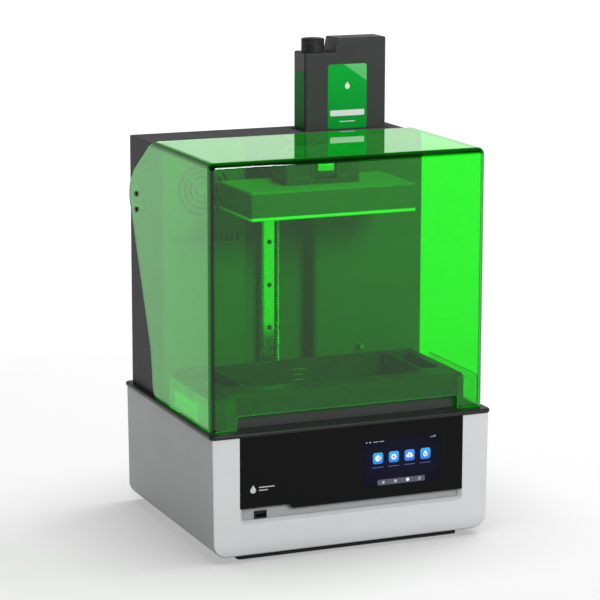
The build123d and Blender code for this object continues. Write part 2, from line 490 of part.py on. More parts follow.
# ---------------------------------------------------------------- air filter behind the round vent
fr, ro = fan(VENT_X, VENT_Z, TOWER_Y0 + T, 80.0, 25.0)
save(fr, "filter_fan_frame")
save(ro, "filter_fan_rotor")
carbon = bx(-182, -98, TOWER_Y0 + T + 25, TOWER_Y0 + T + 47, 445, 529)
for i in range(9):
    for j in range(9):
        carbon -= bx(-178 + i * 8.8, -173 + i * 8.8, TOWER_Y0 + T + 44, TOWER_Y0 + T + 48, 449 + j * 8.8, 454 + j * 8.8)
save(carbon, "carbon_filter")

# ---------------------------------------------------------------- resin bottle in its well
well = bx(BOT_X0 - 2.5, BOT_X1 + 2.5, BOT_Y0 - 2.5, BOT_Y1 + 2.5, BOT_Z0 - 2.5, TOWER_Z1)
well = fillet(well.edges().filter_by(Axis.Z), 5)
flange = bx(BOT_X0 - 5, BOT_X1 + 5, BOT_Y0 - 5, BOT_Y1 + 5, TOWER_Z1, TOWER_Z1 + 1.5)
flange = fillet(flange.edges().filter_by(Axis.Z), 7)
well = well + flange
hole = bx(BOT_X0 - 0.5, BOT_X1 + 0.5, BOT_Y0 - 0.5, BOT_Y1 + 0.5, BOT_Z0, TOWER_Z1 + 5)
well -= fillet(hole.edges().filter_by(Axis.Z), 4)
well -= rod("z", 150, 134, 5.0, BOT_Z0 - 5, BOT_Z0 + 5)
save(well, "bottle_well")


def bottle_form(g):
    """Bottle outline shrunk by g: full height on the right, lower shoulder on the left, slanted step."""
    f = prism_y([(BOT_X0 + g, BOT_Z0 + g), (BOT_X1 - g, BOT_Z0 + g), (BOT_X1 - g, BOT_Z1 - g), (100 + g, BOT_Z1 - g),
                 (96.5 + g, BOT_SHOULDER - g), (BOT_X0 + g, BOT_SHOULDER - g)], BOT_Y0 + g, BOT_Y1 - g)
    return fillet(along(f, Axis.Z, lambda c: True), 4.0 - g if g < 3 else 1.0)


form = bottle_form(0.0)
form = fillet([e for e in form.edges() if near(e.center().Z, BOT_Z1, 0.01) or (near(e.center().Z, BOT_SHOULDER, 0.01) and e.center().X < 96)], 2.5)
neck = rod("z", CAP_X, CAP_Y, 12.0, BOT_SHOULDER - 1, BOT_SHOULDER + 15)
bottle = form - bottle_form(2.0) + neck
bottle -= rod("z", CAP_X, CAP_Y, 9.5, BOT_SHOULDER - 10, BOT_SHOULDER + 20)
LBL_X0, LBL_X1, LBL_Z1 = 84.4, 146.6, 647.0
save(bottle, "bottle_body")
lab1 = Pos(0, BOT_Y0, 0) * (Plane.XZ * Pos((LBL_X0 + LBL_X1) / 2, (LBL_Z1 + 552) / 2) * RectangleRounded(LBL_X1 - LBL_X0, LBL_Z1 - 552, 4))
lab1 = extrude(lab1, 0.3, dir=(0, -1, 0))
lab2 = bx(BOT_X0 - 0.3, BOT_X0, BOT_Y0 + 5, BOT_Y1 - 5, 552, 640)
group([lab1.solid(), lab2.solid()], "bottle_labels")
cap = rod("z", CAP_X, CAP_Y, CAP_R, BOT_SHOULDER + 0.6, BOT_SHOULDER + 19.5)
cap = fillet(cap.edges().filter_by(GeomType.CIRCLE).sort_by(Axis.Z)[-1:], 1.5)
cap -= rod("z", CAP_X, CAP_Y, 12.0 + FIT, BOT_SHOULDER, BOT_SHOULDER + 16)
for a in range(36):
    cap -= Pos(CAP_X, CAP_Y, 0) * Rot(0, 0, a * 10) * Pos(CAP_R + 0.2, 0, BOT_SHOULDER + 9) * Box(0.9, 1.2, 16)
save(cap, "bottle_cap")

# resin feed: pump under the well, tube to an outlet over the vat
pump = bx(128, 172, 112, 156, 366, 400)
pump = fillet(pump.edges().filter_by(Axis.Z), 5)
pump = pump + rod("z", 150, 134, 17.0, 400, 428)
save(pump, "feed_pump")
path = Polyline((150, 134, 428.2), (150, 134, 456.5))
tube = rod("z", 150, 134, 3.0, 428.2, 456.4)
p2 = FilletPolyline((127.8, 134, 383), (100, 134, 383), (100, 134, 242), (100, 19, 242), radius=14)
t2 = sweep(Plane(origin=(127.8, 134, 383), z_dir=(-1, 0, 0)) * Circle(3.0), path=p2)
group([tube.solid(), t2.solid()], "feed_tube")
shell -= rod("y", 100, 242, 3.3, TOWER_Y0 - 2, TOWER_Y0 + 5)          # outlet in the tower's front
save(shell, "tower_shell")

# ---------------------------------------------------------------- cover, hinge
brackets, hubs, lscrews = [], [], []
for s in (-1, 1):
    a, b = sorted((s * 184.0, s * (TOWER_HX - T)))
    br = bx(a, b, PIVOT_Y - 31, PIVOT_Y + 31, PIVOT_Z - 31, PIVOT_Z + 31)
    a, b = sorted((s * 186.0, s * (TOWER_HX - T + 1)))
    br -= rod("x", PIVOT_Y, PIVOT_Z, HUB_R + 0.6, a, b)
    a, b = sorted((s * 185.0, s * 201.0))
    br += rod("x", PIVOT_Y, PIVOT_Z, 5.0, a, b)
    brackets.append(br.solid())
    a, b = sorted((s * 186.5, s * (LID_HX - LID_T)))
    hub = rod("x", PIVOT_Y, PIVOT_Z, HUB_R, a, b)
    a, b = sorted((s * 180.0, s * 201.4))
    hub -= rod("x", PIVOT_Y, PIVOT_Z, 5.0 + FIT, a, b)
    hubs.append(hub.solid())
    for z in (470.0, 447.0):
        a, b = sorted((s * LID_HX, s * (LID_HX + 2.2)))
        h = rod("x", PIVOT_Y, z, 4.0, a, b)
        h = fillet(h.edges().filter_by(GeomType.CIRCLE).sort_by(Axis.X)[-1 if s > 0 else 0:][:1], 1.2)
        a, b = sorted((s * (LID_HX + 0.8), s * (LID_HX + 4)))
        h -= rod("x", PIVOT_Y, z, 1.6, a, b)
        lscrews.append(h.solid())
group(brackets, "hinge_brackets")
group(hubs, "hinge_hubs")
group(lscrews, "lid_screws")

# side outline of the cover: straight front and top, slope at the back, round bulge at the hinge
PB = (130.0, 466.0)
BR = 36.0
side_pts = [(LID_Y0, LID_Z0), (LID_Y0, LID_Z1), (66.0, LID_Z1), (147.0, 502.0)]
for a in (55, 40, 25, 10, -5, -20, -33):
    side_pts.append((PB[0] + BR * math.cos(math.radians(a)), PB[1] + BR * math.sin(math.radians(a))))
side_pts += [(156.0, 438.0), (80.0, 255.0), (73.0, 214.0), (72.0, 199.0), (68.0, 189.5), (57.0, LID_Z0)]
body = prism_x(side_pts, -LID_HX, LID_HX)
body = fillet(along(body, Axis.X, lambda c: near(c.Y, LID_Y0, 0.5) and near(c.Z, LID_Z1, 0.5)), LID_R)
rim = [e for e in body.edges() if near(abs(e.center().X), LID_HX, 0.01)
       and ((near(e.center().Y, LID_Y0, 0.1) and e.center().Z < LID_Z1 - 12)
            or (near(e.center().Z, LID_Z1, 0.1) and e.center().Y < 60)
            or (e.center().Y < LID_Y0 + 12 and e.center().Z > LID_Z1 - 12))]
body = fillet(rim, LID_R - 1.0)
void = bx(-LID_HX + LID_T, LID_HX - LID_T, LID_Y0 + LID_T, 400, LID_Z0 - 50, LID_Z1 - LID_T)
void = fillet(along(void, Axis.X, lambda c: near(c.Y, LID_Y0 + LID_T, 0.5) and near(c.Z, LID_Z1 - LID_T, 0.5)), LID_R - LID_T)
vrim = [e for e in void.edges() if near(abs(e.center().X), LID_HX - LID_T, 0.01)
        and ((near(e.center().Y, LID_Y0 + LID_T, 0.1) and e.center().Z < LID_Z1 - 10)
             or (near(e.center().Z, LID_Z1 - LID_T, 0.1))
             or (e.center().Y < LID_Y0 + LID_T + 10 and e.center().Z > LID_Z1 - LID_T - 10))]
void = fillet(vrim, LID_R - LID_T - 2.0)
lid = body - void
cut = bx(-168, 168, LID_Y0 - 5, LID_Y0 + 20, LID_Z0 - 5, 203.5)
cut = fillet(along(cut, Axis.Y, lambda c: near(c.Z, 203.5, 0.1)), 5)
lid -= cut
save(lid, "lid_shell")

guards = []
GX, GY = LID_HX - LID_T, LID_Y0 + LID_T
for s in (-1, 1):
    g = prism_z([(s * GX, 3.0), (s * GX, GY + 4.2), (s * (GX - 4.2), GY), (s * 168.0, GY), (s * 168.0, GY + 2.4),
                 (s * (GX - 5.2), GY + 2.4), (s * (GX - 2.4), GY + 5.2), (s * (GX - 2.4), 3.0)], LID_Z0, 229.0)
    guards.append(g.solid())
group(guards, "lid_guards")
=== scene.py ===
import bpy
import bmesh
import json
import math
from mathutils import Vector, Matrix

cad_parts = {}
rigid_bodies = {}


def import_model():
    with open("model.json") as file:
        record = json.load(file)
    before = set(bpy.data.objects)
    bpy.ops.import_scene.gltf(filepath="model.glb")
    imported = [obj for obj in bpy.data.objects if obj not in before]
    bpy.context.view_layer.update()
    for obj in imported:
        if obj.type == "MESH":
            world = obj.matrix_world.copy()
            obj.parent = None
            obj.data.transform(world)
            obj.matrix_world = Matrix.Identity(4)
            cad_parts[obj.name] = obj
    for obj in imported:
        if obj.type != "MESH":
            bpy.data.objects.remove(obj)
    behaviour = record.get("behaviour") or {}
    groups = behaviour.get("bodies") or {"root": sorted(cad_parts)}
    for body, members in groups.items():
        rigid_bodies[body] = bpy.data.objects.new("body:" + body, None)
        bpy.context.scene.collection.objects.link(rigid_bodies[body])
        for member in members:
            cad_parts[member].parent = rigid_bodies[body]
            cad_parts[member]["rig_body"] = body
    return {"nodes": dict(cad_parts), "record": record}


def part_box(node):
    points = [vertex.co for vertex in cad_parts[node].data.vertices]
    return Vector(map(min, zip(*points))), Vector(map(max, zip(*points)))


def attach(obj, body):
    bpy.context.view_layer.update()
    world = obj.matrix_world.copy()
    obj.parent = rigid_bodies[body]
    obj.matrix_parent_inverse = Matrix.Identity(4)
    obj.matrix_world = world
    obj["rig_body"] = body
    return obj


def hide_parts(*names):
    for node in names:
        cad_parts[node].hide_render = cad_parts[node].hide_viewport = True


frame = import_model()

for _o in list(bpy.data.objects):
    if _o.name in ("Cube", "Light", "Camera") and "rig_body" not in _o:
        bpy.data.objects.remove(_o)

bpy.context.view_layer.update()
NODES = frame["nodes"]
REC = frame["record"]
SLOT = {s["node"]: s["material_slot"] for s in REC["subparts"]}
BODY = {n: b for b, ns in REC["behaviour"]["bodies"].items() for n in ns}
K = 0.001                                     # millimetres to metres
ROOT = bpy.context.scene.collection


def B(node):
    """Box of a node in millimetres: x0, y0, z0, x1, y1, z1."""
    lo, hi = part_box(node)
    return [v / K for v in lo] + [v / K for v in hi]


# =====================================================================================
# materials: every one is a node tree with colour variation, fine relief and roughness
# =====================================================================================
MATS = {}


class Tree:
    def __init__(self, name):
        self.mat = bpy.data.materials.new(name)
        self.mat.use_nodes = True
        self.nt = self.mat.node_tree
        self.nt.nodes.clear()
        self.out = self.nt.nodes.new("ShaderNodeOutputMaterial")
        self.tc = None

    def n(self, kind, ins=None, **attrs):
        node = self.nt.nodes.new(kind)
        for k, v in attrs.items():
            setattr(node, k, v)
        for k, v in (ins or {}).items():
            self.put(node.inputs[k], v)
        return node

    def put(self, socket, v):
        if isinstance(v, bpy.types.NodeSocket):
            self.nt.links.new(v, socket)
        elif isinstance(v, bpy.types.Node):
            self.nt.links.new(v.outputs[0], socket)
        else:
            if hasattr(v, "__len__") and len(v) == 3 and socket.type == "RGBA":
                v = (v[0], v[1], v[2], 1.0)
            socket.default_value = v

    def coord(self, scale=(1, 1, 1), rot=(0, 0, 0)):
        if self.tc is None:
            self.tc = self.n("ShaderNodeTexCoord")
        m = self.n("ShaderNodeMapping", {"Vector": self.tc.outputs["Object"], "Scale": scale, "Rotation": rot})
        return m.outputs[0]

    def noise(self, scale, detail=3.0, rough=0.55, vec=None, stretch=(1, 1, 1)):
        v = vec if vec is not None else self.coord(stretch)
        return self.n("ShaderNodeTexNoise", {"Vector": v, "Scale": scale, "Detail": detail, "Roughness": rough}).outputs[0]

    def math(self, op, a, b=0.0, c=None, clamp=False):
        m = self.n("ShaderNodeMath", operation=op, use_clamp=clamp)
        self.put(m.inputs[0], a)
        self.put(m.inputs[1], b)
        if c is not None:
            self.put(m.inputs[2], c)
        return m.outputs[0]

    def remap(self, v, a, b, c=0.0, d=1.0):
        return self.n("ShaderNodeMapRange", {"Value": v, "From Min": a, "From Max": b, "To Min": c, "To Max": d}).outputs[0]

    def mix(self, fac, a, b, mode="MIX"):
        m = self.n("ShaderNodeMix", data_type="RGBA", blend_type=mode)
        self.put(m.inputs[0], fac)
        self.put(m.inputs[6], a)
        self.put(m.inputs[7], b)
        return m.outputs[2]

    def sep(self, vec=None):
        if self.tc is None:
            self.tc = self.n("ShaderNodeTexCoord")
        s = self.n("ShaderNodeSeparateXYZ", {"Vector": vec if vec is not None else self.tc.outputs["Object"]})
        return s.outputs

    def bump(self, height, strength=0.3, distance=0.0001, normal=None):
        ins = {"Height": height, "Strength": strength, "Distance": distance}
        if normal is not None:
            ins["Normal"] = normal
        return self.n("ShaderNodeBump", ins).outputs[0]

    def edge(self, radius=0.0006):
        """1 on sharp edges, 0 on flat faces."""
        b = self.n("ShaderNodeBevel", {"Radius": radius}, samples=4)
        g = self.n("ShaderNodeNewGeometry")
        d = self.n("ShaderNodeVectorMath", {0: b.outputs[0], 1: g.outputs["Normal"]}, operation="DOT_PRODUCT")
        return self.remap(d.outputs["Value"], 0.995, 0.86, 0.0, 1.0)

    def finish(self, shader, name):
        self.put(self.out.inputs["Surface"], shader)
        MATS[name] = self.mat
        return self.mat


def coated(name, rgb, rough=0.45, metal=0.0, var=0.06, grain=2600.0, relief=0.10, spec=0.5, coat=0.0,
           painted_hollow_shade=0.0, painted_recess_shade=0.0, wear_and_edge_highlight=None, rough_var=0.08, big=14.0, dist=0.00005, aniso=None, streak=None):
    """Paint, plastic or metal: cloudy tone, fine grain, roughness drift, optional worn edges that are partly painted
    edge highlight, and optional painted shade in hollows and in the front recess.
    """
    t = Tree(name)
    tone = t.remap(t.noise(big, 4.0), 0.3, 0.7, 1.0 - var, 1.0 + var)
    fine = t.noise(grain, 2.0, 0.6, stretch=streak or (1, 1, 1))
    spk = t.remap(fine, 0.25, 0.75, 1.0 - var * 0.9, 1.0 + var * 0.9)
    k = t.math("MULTIPLY", tone, spk)
    col = t.mix(1.0, rgb, t.n("ShaderNodeCombineColor", {0: k, 1: k, 2: k}).outputs[0], "MULTIPLY")
    r = t.remap(t.noise(big * 3.1, 5.0, 0.6), 0.3, 0.7, max(0.02, rough - rough_var), min(1.0, rough + rough_var))
    # lighter edge colour: partly wear, partly painted edge highlight
    if wear_and_edge_highlight:
        e = t.math("MULTIPLY", t.edge(wear_and_edge_highlight.get("r", 0.0006)), t.remap(t.noise(160, 4.0), 0.35, 0.65, wear_and_edge_highlight.get("lo", 0.25), 1.0))
        col = t.mix(t.math("MULTIPLY", e, wear_and_edge_highlight.get("amount", 0.6)), col, wear_and_edge_highlight["rgb"])
        r = t.math("SUBTRACT", r, t.math("MULTIPLY", e, 0.08), clamp=True)
    if painted_recess_shade:
        # painted shade: the recessed face of the front recess darkened by its position
        x, y, z = t.sep()[:3]
        m = t.math("MULTIPLY", t.math("GREATER_THAN", y, -0.1726), t.math("LESS_THAN", y, -0.160))
        m = t.math("MULTIPLY", m, t.math("MULTIPLY", t.math("GREATER_THAN", z, 0.0525), t.math("LESS_THAN", z, 0.178)))
        m = t.math("MULTIPLY", m, t.math("LESS_THAN", t.math("ABSOLUTE", x), 0.1698))
        col = t.mix(t.math("MULTIPLY", m, painted_recess_shade), col, (0.12, 0.12, 0.122))
    # painted shade: colour darkened by ambient occlusion in hollows and recesses
    if painted_hollow_shade:
        ao = t.n("ShaderNodeAmbientOcclusion", {"Distance": 0.03}, samples=6).outputs["AO"]
        h = t.remap(ao, 0.35, 0.97, 1.0 - painted_hollow_shade, 1.0)
        col = t.mix(1.0, col, t.n("ShaderNodeCombineColor", {0: h, 1: h, 2: h}).outputs[0], "MULTIPLY")
    ins = {"Base Color": col, "Roughness": r, "Metallic": metal, "Specular IOR Level": spec,
           "Normal": t.bump(fine, relief, dist)}
    if coat:
        ins["Coat Weight"] = coat
        ins["Coat Roughness"] = 0.12
    if aniso:
        ins["Anisotropic"] = aniso
    t.finish(t.n("ShaderNodeBsdfPrincipled", ins), name)


def tinted(name, tint, ior=1.49, rough=0.0, ghost=None, streaks=0.0, painted_corner_shade=0.0, painted_grazing_glow=0.0):
    """Clear tinted sheet: refraction tinted through the wall, tinted light passes for lamps and bounces."""
    t = Tree(name)
    v = t.remap(t.noise(6.0, 3.0), 0.3, 0.7, 0.97, 1.03)
    col = t.mix(1.0, tint, t.n("ShaderNodeCombineColor", {0: v, 1: 1.0, 2: v}).outputs[0], "MULTIPLY")
    r = rough
    if streaks:
        r = t.math("ADD", t.remap(t.noise(55.0, 6.0, 0.7, stretch=(1.0, 1.0, 0.25)), 0.62, 0.85, 0.0, 0.02 * streaks), rough)
    if painted_corner_shade:
        # painted shade: the rounded corners get a darker green colour than the flat sheet
        nx, ny, nz = t.n("ShaderNodeSeparateXYZ", {0: t.n("ShaderNodeTexCoord").outputs["Normal"]}).outputs[:3]
        big = t.math("MAXIMUM", t.math("ABSOLUTE", nx), t.math("MAXIMUM", t.math("ABSOLUTE", ny), t.math("ABSOLUTE", nz)))
        col = t.mix(t.math("MULTIPLY", t.remap(big, 0.992, 0.90, 0.0, 1.0), painted_corner_shade), col, (0.0, 0.05, 0.0))
    ins = {"Base Color": col, "Roughness": r, "IOR": ior, "Transmission Weight": 1.0}
    if painted_grazing_glow:
        # painted glow: green emission at grazing angles stands in for light trapped in the sheet leaving it
        f = t.n("ShaderNodeLayerWeight", {"Blend": 0.5}).outputs["Facing"]
        ins["Emission Color"] = (0.0, 1.0, 0.03)
        ins["Emission Strength"] = t.math("MULTIPLY", t.math("MULTIPLY", f, f), painted_grazing_glow)
    glass = t.n("ShaderNodeBsdfPrincipled", ins)
    clear = t.n("ShaderNodeBsdfTransparent", {"Color": ghost or tint})
    lp = t.n("ShaderNodeLightPath")
    f = t.math("MAXIMUM", lp.outputs["Is Shadow Ray"], lp.outputs["Is Diffuse Ray"])
    t.finish(t.n("ShaderNodeMixShader", {0: f, 1: glass.outputs[0], 2: clear.outputs[0]}), name)


def glow(name, rgb, strength, gloss=0.15, second=None, span=None):
    """Lit print or display element with a slight gradient and a glossy face."""
    t = Tree(name)
    if second is not None:
        z = t.sep()[2]
        f = t.remap(z, span[0] * K, span[1] * K)
        col = t.mix(f, rgb, second)
    else:
        f = t.remap(t.noise(300.0, 2.0), 0.3, 0.7, 0.96, 1.04)
        col = t.mix(1.0, rgb, t.n("ShaderNodeCombineColor", {0: f, 1: f, 2: f}).outputs[0], "MULTIPLY")
    ins = {"Base Color": (0.01, 0.01, 0.012), "Roughness": gloss, "Specular IOR Level": 0.2,
           "Emission Color": col, "Emission Strength": strength}
    t.finish(t.n("ShaderNodeBsdfPrincipled", ins), name)


# lighter edge colour for dark parts: partly wear, partly painted edge highlight
GREY_WEAR_AND_HIGHLIGHT = {"rgb": (0.30, 0.30, 0.31), "amount": 0.55, "r": 0.0005, "lo": 0.15}
# silver paint: painted shade in the front recess and in hollows
coated("silver_coat", (0.615, 0.62, 0.63), 0.46, metal=0.0, spec=0.22, painted_hollow_shade=0.5, painted_recess_shade=0.5, var=0.022, grain=3600, relief=0.16, dist=0.00006,
       wear_and_edge_highlight={"rgb": (0.78, 0.78, 0.79), "amount": 0.5, "r": 0.0005, "lo": 0.3}, rough_var=0.05)
coated("zinc_sheet", (0.55, 0.56, 0.57), 0.36, metal=0.9, var=0.10, grain=420, relief=0.04, aniso=0.3)
coated("foot_rubber", (0.022, 0.022, 0.023), 0.75, spec=0.2, var=0.12, grain=1800, relief=0.35)
coated("port_black", (0.012, 0.012, 0.013), 0.3, spec=0.2, var=0.08, grain=2500, relief=0.06)
coated("black_plastic", (0.020, 0.020, 0.022), 0.5, spec=0.2, var=0.10, grain=2200, relief=0.25, wear_and_edge_highlight=GREY_WEAR_AND_HIGHLIGHT)
coated("rocker_plastic", (0.016, 0.016, 0.018), 0.22, spec=0.2, var=0.08, grain=1500, relief=0.05)
coated("fan_plastic", (0.024, 0.024, 0.026), 0.48, spec=0.2, var=0.10, grain=1600, relief=0.2)
coated("board_white", (0.68, 0.69, 0.68), 0.35, var=0.04, grain=900, relief=0.1)
coated("plain_aluminium", (0.72, 0.73, 0.74), 0.32, metal=1.0, var=0.05, grain=900, relief=0.12,
       streak=(1.0, 14.0, 1.0), aniso=0.4)
# deck: lighter rounded front edge, partly wear, partly painted highlight
coated("deck_black", (0.016, 0.0165, 0.017), 0.36, spec=0.2, var=0.06, grain=3000, relief=0.12,
       wear_and_edge_highlight={"rgb": (0.12, 0.125, 0.13), "amount": 0.6, "r": 0.0012, "lo": 0.6}, rough_var=0.06)
coated("vat_coat", (0.048, 0.050, 0.050), 0.42, metal=0.0, spec=0.2, var=0.06, grain=2800, relief=0.18, wear_and_edge_highlight=GREY_WEAR_AND_HIGHLIGHT)
coated("clamp_metal", (0.52, 0.53, 0.53), 0.33, metal=1.0, var=0.06, grain=700, relief=0.1, streak=(1, 12, 1), aniso=0.4)
coated("knob_plastic", (0.022, 0.022, 0.023), 0.42, spec=0.2, var=0.1, grain=2000, relief=0.2, wear_and_edge_highlight=GREY_WEAR_AND_HIGHLIGHT)
coated("dark_sheet", (0.165, 0.163, 0.169), 0.62, spec=0.03, var=0.045, grain=3000, relief=0.30, dist=0.00008,
       wear_and_edge_highlight={"rgb": (0.36, 0.36, 0.37), "amount": 0.45, "r": 0.0007, "lo": 0.35}, rough_var=0.07)
coated("black_steel", (0.030, 0.030, 0.032), 0.35, metal=0.7, var=0.1, grain=2400, relief=0.1, wear_and_edge_highlight=GREY_WEAR_AND_HIGHLIGHT)
coated("rail_steel", (0.74, 0.75, 0.75), 0.24, metal=1.0, var=0.04, grain=500, relief=0.06, streak=(10, 10, 0.4), aniso=0.5)
coated("screw_steel", (0.66, 0.67, 0.67), 0.22, metal=1.0, var=0.07, grain=900, relief=0.08)
coated("motor_black", (0.022, 0.022, 0.024), 0.4, metal=0.3, var=0.08, grain=1800, relief=0.15, wear_and_edge_highlight=GREY_WEAR_AND_HIGHLIGHT)
coated("arm_coat", (0.060, 0.062, 0.062), 0.46, metal=0.0, spec=0.2, var=0.06, grain=2600, relief=0.22, wear_and_edge_highlight=GREY_WEAR_AND_HIGHLIGHT)
coated("nut_brass", (0.74, 0.53, 0.22), 0.28, metal=1.0, var=0.06, grain=900, relief=0.08)
coated("lever_metal", (0.58, 0.585, 0.59), 0.3, metal=1.0, var=0.05, grain=800, relief=0.08, streak=(12, 1, 1))
coated("platform_coat", (0.135, 0.14, 0.138), 0.46, metal=0.0, spec=0.12, var=0.05, grain=2600, relief=0.22,
       wear_and_edge_highlight={"rgb": (0.5, 0.5, 0.5), "amount": 0.5, "r": 0.0008, "lo": 0.4})
coated("bottle_plastic", (0.042, 0.043, 0.043), 0.42, spec=0.15, var=0.05, grain=2600, relief=0.22, rough_var=0.06,
       wear_and_edge_highlight={"rgb": (0.16, 0.16, 0.16), "amount": 0.45, "r": 0.0012, "lo": 0.5})
coated("cap_plastic", (0.011, 0.011, 0.0115), 0.42, spec=0.2, var=0.08, grain=2200, relief=0.2, wear_and_edge_highlight=GREY_WEAR_AND_HIGHLIGHT)
coated("feed_silicone", (0.40, 0.40, 0.38), 0.45, var=0.05, grain=600, relief=0.05)
coated("cable_black", (0.018, 0.018, 0.019), 0.5, var=0.1, grain=2000, relief=0.1)
coated("cable_red", (0.35, 0.02, 0.02), 0.45, var=0.1, grain=2000, relief=0.1)
coated("chip_black", (0.015, 0.015, 0.016), 0.4, var=0.1, grain=2400, relief=0.15)
coated("solder_gold", (0.80, 0.60, 0.25), 0.3, metal=1.0, var=0.08, grain=1500, relief=0.1)


def board_green():
    t = Tree("board_green")
    br = t.n("ShaderNodeTexBrick", {"Vector": t.coord((1, 1, 1)), "Scale": 160.0, "Mortar Size": 0.012,
                                    "Color1": (0.012, 0.13, 0.05, 1), "Color2": (0.014, 0.15, 0.06, 1), "Mortar": (0.02, 0.24, 0.10, 1)})
    sp = t.n("ShaderNodeTexVoronoi", {"Vector": t.coord(), "Scale": 420.0})
    dots = t.remap(sp.outputs[0], 0.16, 0.20, 1.0, 0.0)
    col = t.mix(dots, br.outputs[0], (0.55, 0.52, 0.40))
    t.finish(t.n("ShaderNodeBsdfPrincipled", {"Base Color": col, "Roughness": 0.33,
                                              "Normal": t.bump(br.outputs[1], 0.3, 0.00005)}), "board_green")


def black_glass():
    t = Tree("black_glass")
    smudge = t.noise(26.0, 6.0, 0.65)
    r = t.remap(smudge, 0.35, 0.75, 0.07, 0.16)
    dust = t.remap(t.noise(5200.0, 1.0), 0.74, 0.80, 0.0, 0.02)
    col = t.mix(dust, (0.0052, 0.0052, 0.0055), (0.20, 0.20, 0.20))
    t.finish(t.n("ShaderNodeBsdfPrincipled", {"Base Color": col, "Roughness": r, "Specular IOR Level": 0.06,
                                              "Normal": t.bump(smudge, 0.01, 0.0001)}), "black_glass")


def screen_face():
    """Display: deep navy with a faint glow in the middle and a fine pixel grid."""
    t = Tree("screen_face")
    x, y, z = t.sep()[:3]
    b = B("touch_screen")
    cx, cz = (b[0] + b[3]) / 2 * K, (b[2] + b[5]) / 2 * K
    dx = t.math("MULTIPLY", t.math("SUBTRACT", x, cx), 1 / 0.075)
    dz = t.math("MULTIPLY", t.math("SUBTRACT", z, cz), 1 / 0.045)
    d = t.math("SQRT", t.math("ADD", t.math("MULTIPLY", dx, dx), t.math("MULTIPLY", dz, dz)))
    f = t.remap(d, 0.0, 1.0, 1.0, 0.0)
    col = t.mix(f, (0.0052, 0.0050, 0.0135), (0.0085, 0.0090, 0.030))
    grid = t.n("ShaderNodeTexBrick", {"Vector": t.coord((1, 1, 1), (math.pi / 2, 0, 0)), "Scale": 5200.0, "Mortar Size": 0.05}).outputs[1]
    e = t.math("SUBTRACT", 1.0, t.math("MULTIPLY", grid, 0.12))
    t.finish(t.n("ShaderNodeBsdfPrincipled", {"Base Color": (0.004, 0.004, 0.006), "Roughness": 0.1, "Specular IOR Level": 0.015,
                                              "Emission Color": col, "Emission Strength": t.math("MULTIPLY", e, 0.8)}), "screen_face")


def lcd_face():
    t = Tree("lcd_face")
    grid = t.n("ShaderNodeTexBrick", {"Vector": t.coord(), "Scale": 1400.0, "Mortar Size": 0.04}).outputs[1]
    col = t.mix(grid, (0.020, 0.021, 0.030), (0.035, 0.036, 0.05))
    t.finish(t.n("ShaderNodeBsdfPrincipled", {"Base Color": col, "Roughness": 0.12,
                                              "Normal": t.bump(t.noise(30), 0.01, 0.0001)}), "lcd_face")


def bright_plate():
    """Build surface: laser-etched underside grid, bright milled edge."""
    t = Tree("bright_plate")
    x, y, z = t.sep()[:3]
    wx = t.n("ShaderNodeTexWave", {"Vector": t.coord(), "Scale": 130.0}, bands_direction="X").outputs[1]
    wy = t.n("ShaderNodeTexWave", {"Vector": t.coord(), "Scale": 130.0}, bands_direction="Y").outputs[1]
    g = t.math("MINIMUM", t.remap(wx, 0.0, 0.12), t.remap(wy, 0.0, 0.12))
    col = t.mix(g, (0.30, 0.30, 0.31), (0.80, 0.81, 0.82))
    grain = t.noise(2400, 2.0)
    nrm = t.bump(g, 0.4, 0.0002, t.bump(grain, 0.1, 0.00005))
    t.finish(t.n("ShaderNodeBsdfPrincipled", {"Base Color": (0.86, 0.87, 0.88), "Roughness": t.remap(g, 0, 1, 0.6, 0.36), "Metallic": 0.55,
                                              "Normal": nrm}), "bright_plate")


def filter_black():
    t = Tree("filter_black")
    v = t.n("ShaderNodeTexVoronoi", {"Vector": t.coord(), "Scale": 700.0}).outputs[0]
    t.finish(t.n("ShaderNodeBsdfPrincipled", {"Base Color": t.mix(t.remap(v, 0, 0.6), (0.05, 0.05, 0.05), (0.008, 0.008, 0.008)),
                                              "Roughness": 0.8, "Normal": t.bump(v, 0.8, 0.0006)}), "filter_black")


def printed(name, rgb, dark=0.75, gloss=0.33, z0=550.0, z1=650.0):
    """Printed film label: ink mottling, slight vertical shade."""
    t = Tree(name)
    z = t.sep()[2]
    f = t.remap(z, z0 * K, z1 * K, dark, 1.0)
    m = t.math("MULTIPLY", f, t.remap(t.noise(900.0, 3.0), 0.3, 0.7, 0.96, 1.04))
    col = t.mix(1.0, rgb, t.n("ShaderNodeCombineColor", {0: m, 1: m, 2: m}).outputs[0], "MULTIPLY")
    t.finish(t.n("ShaderNodeBsdfPrincipled", {"Base Color": col, "Roughness": gloss, "Specular IOR Level": 0.02,
                                              "Normal": t.bump(t.noise(60.0, 3.0), 0.05, 0.0002)}), name)


board_green(); black_glass(); screen_face(); lcd_face(); bright_plate(); filter_black()
printed("label_green", (0.007, 0.40, 0.045))
printed("label_light", (0.12, 0.56, 0.17))
printed("label_white", (0.80, 0.83, 0.80), dark=0.95)
printed("print_grey", (0.52, 0.53, 0.54), dark=1.0)
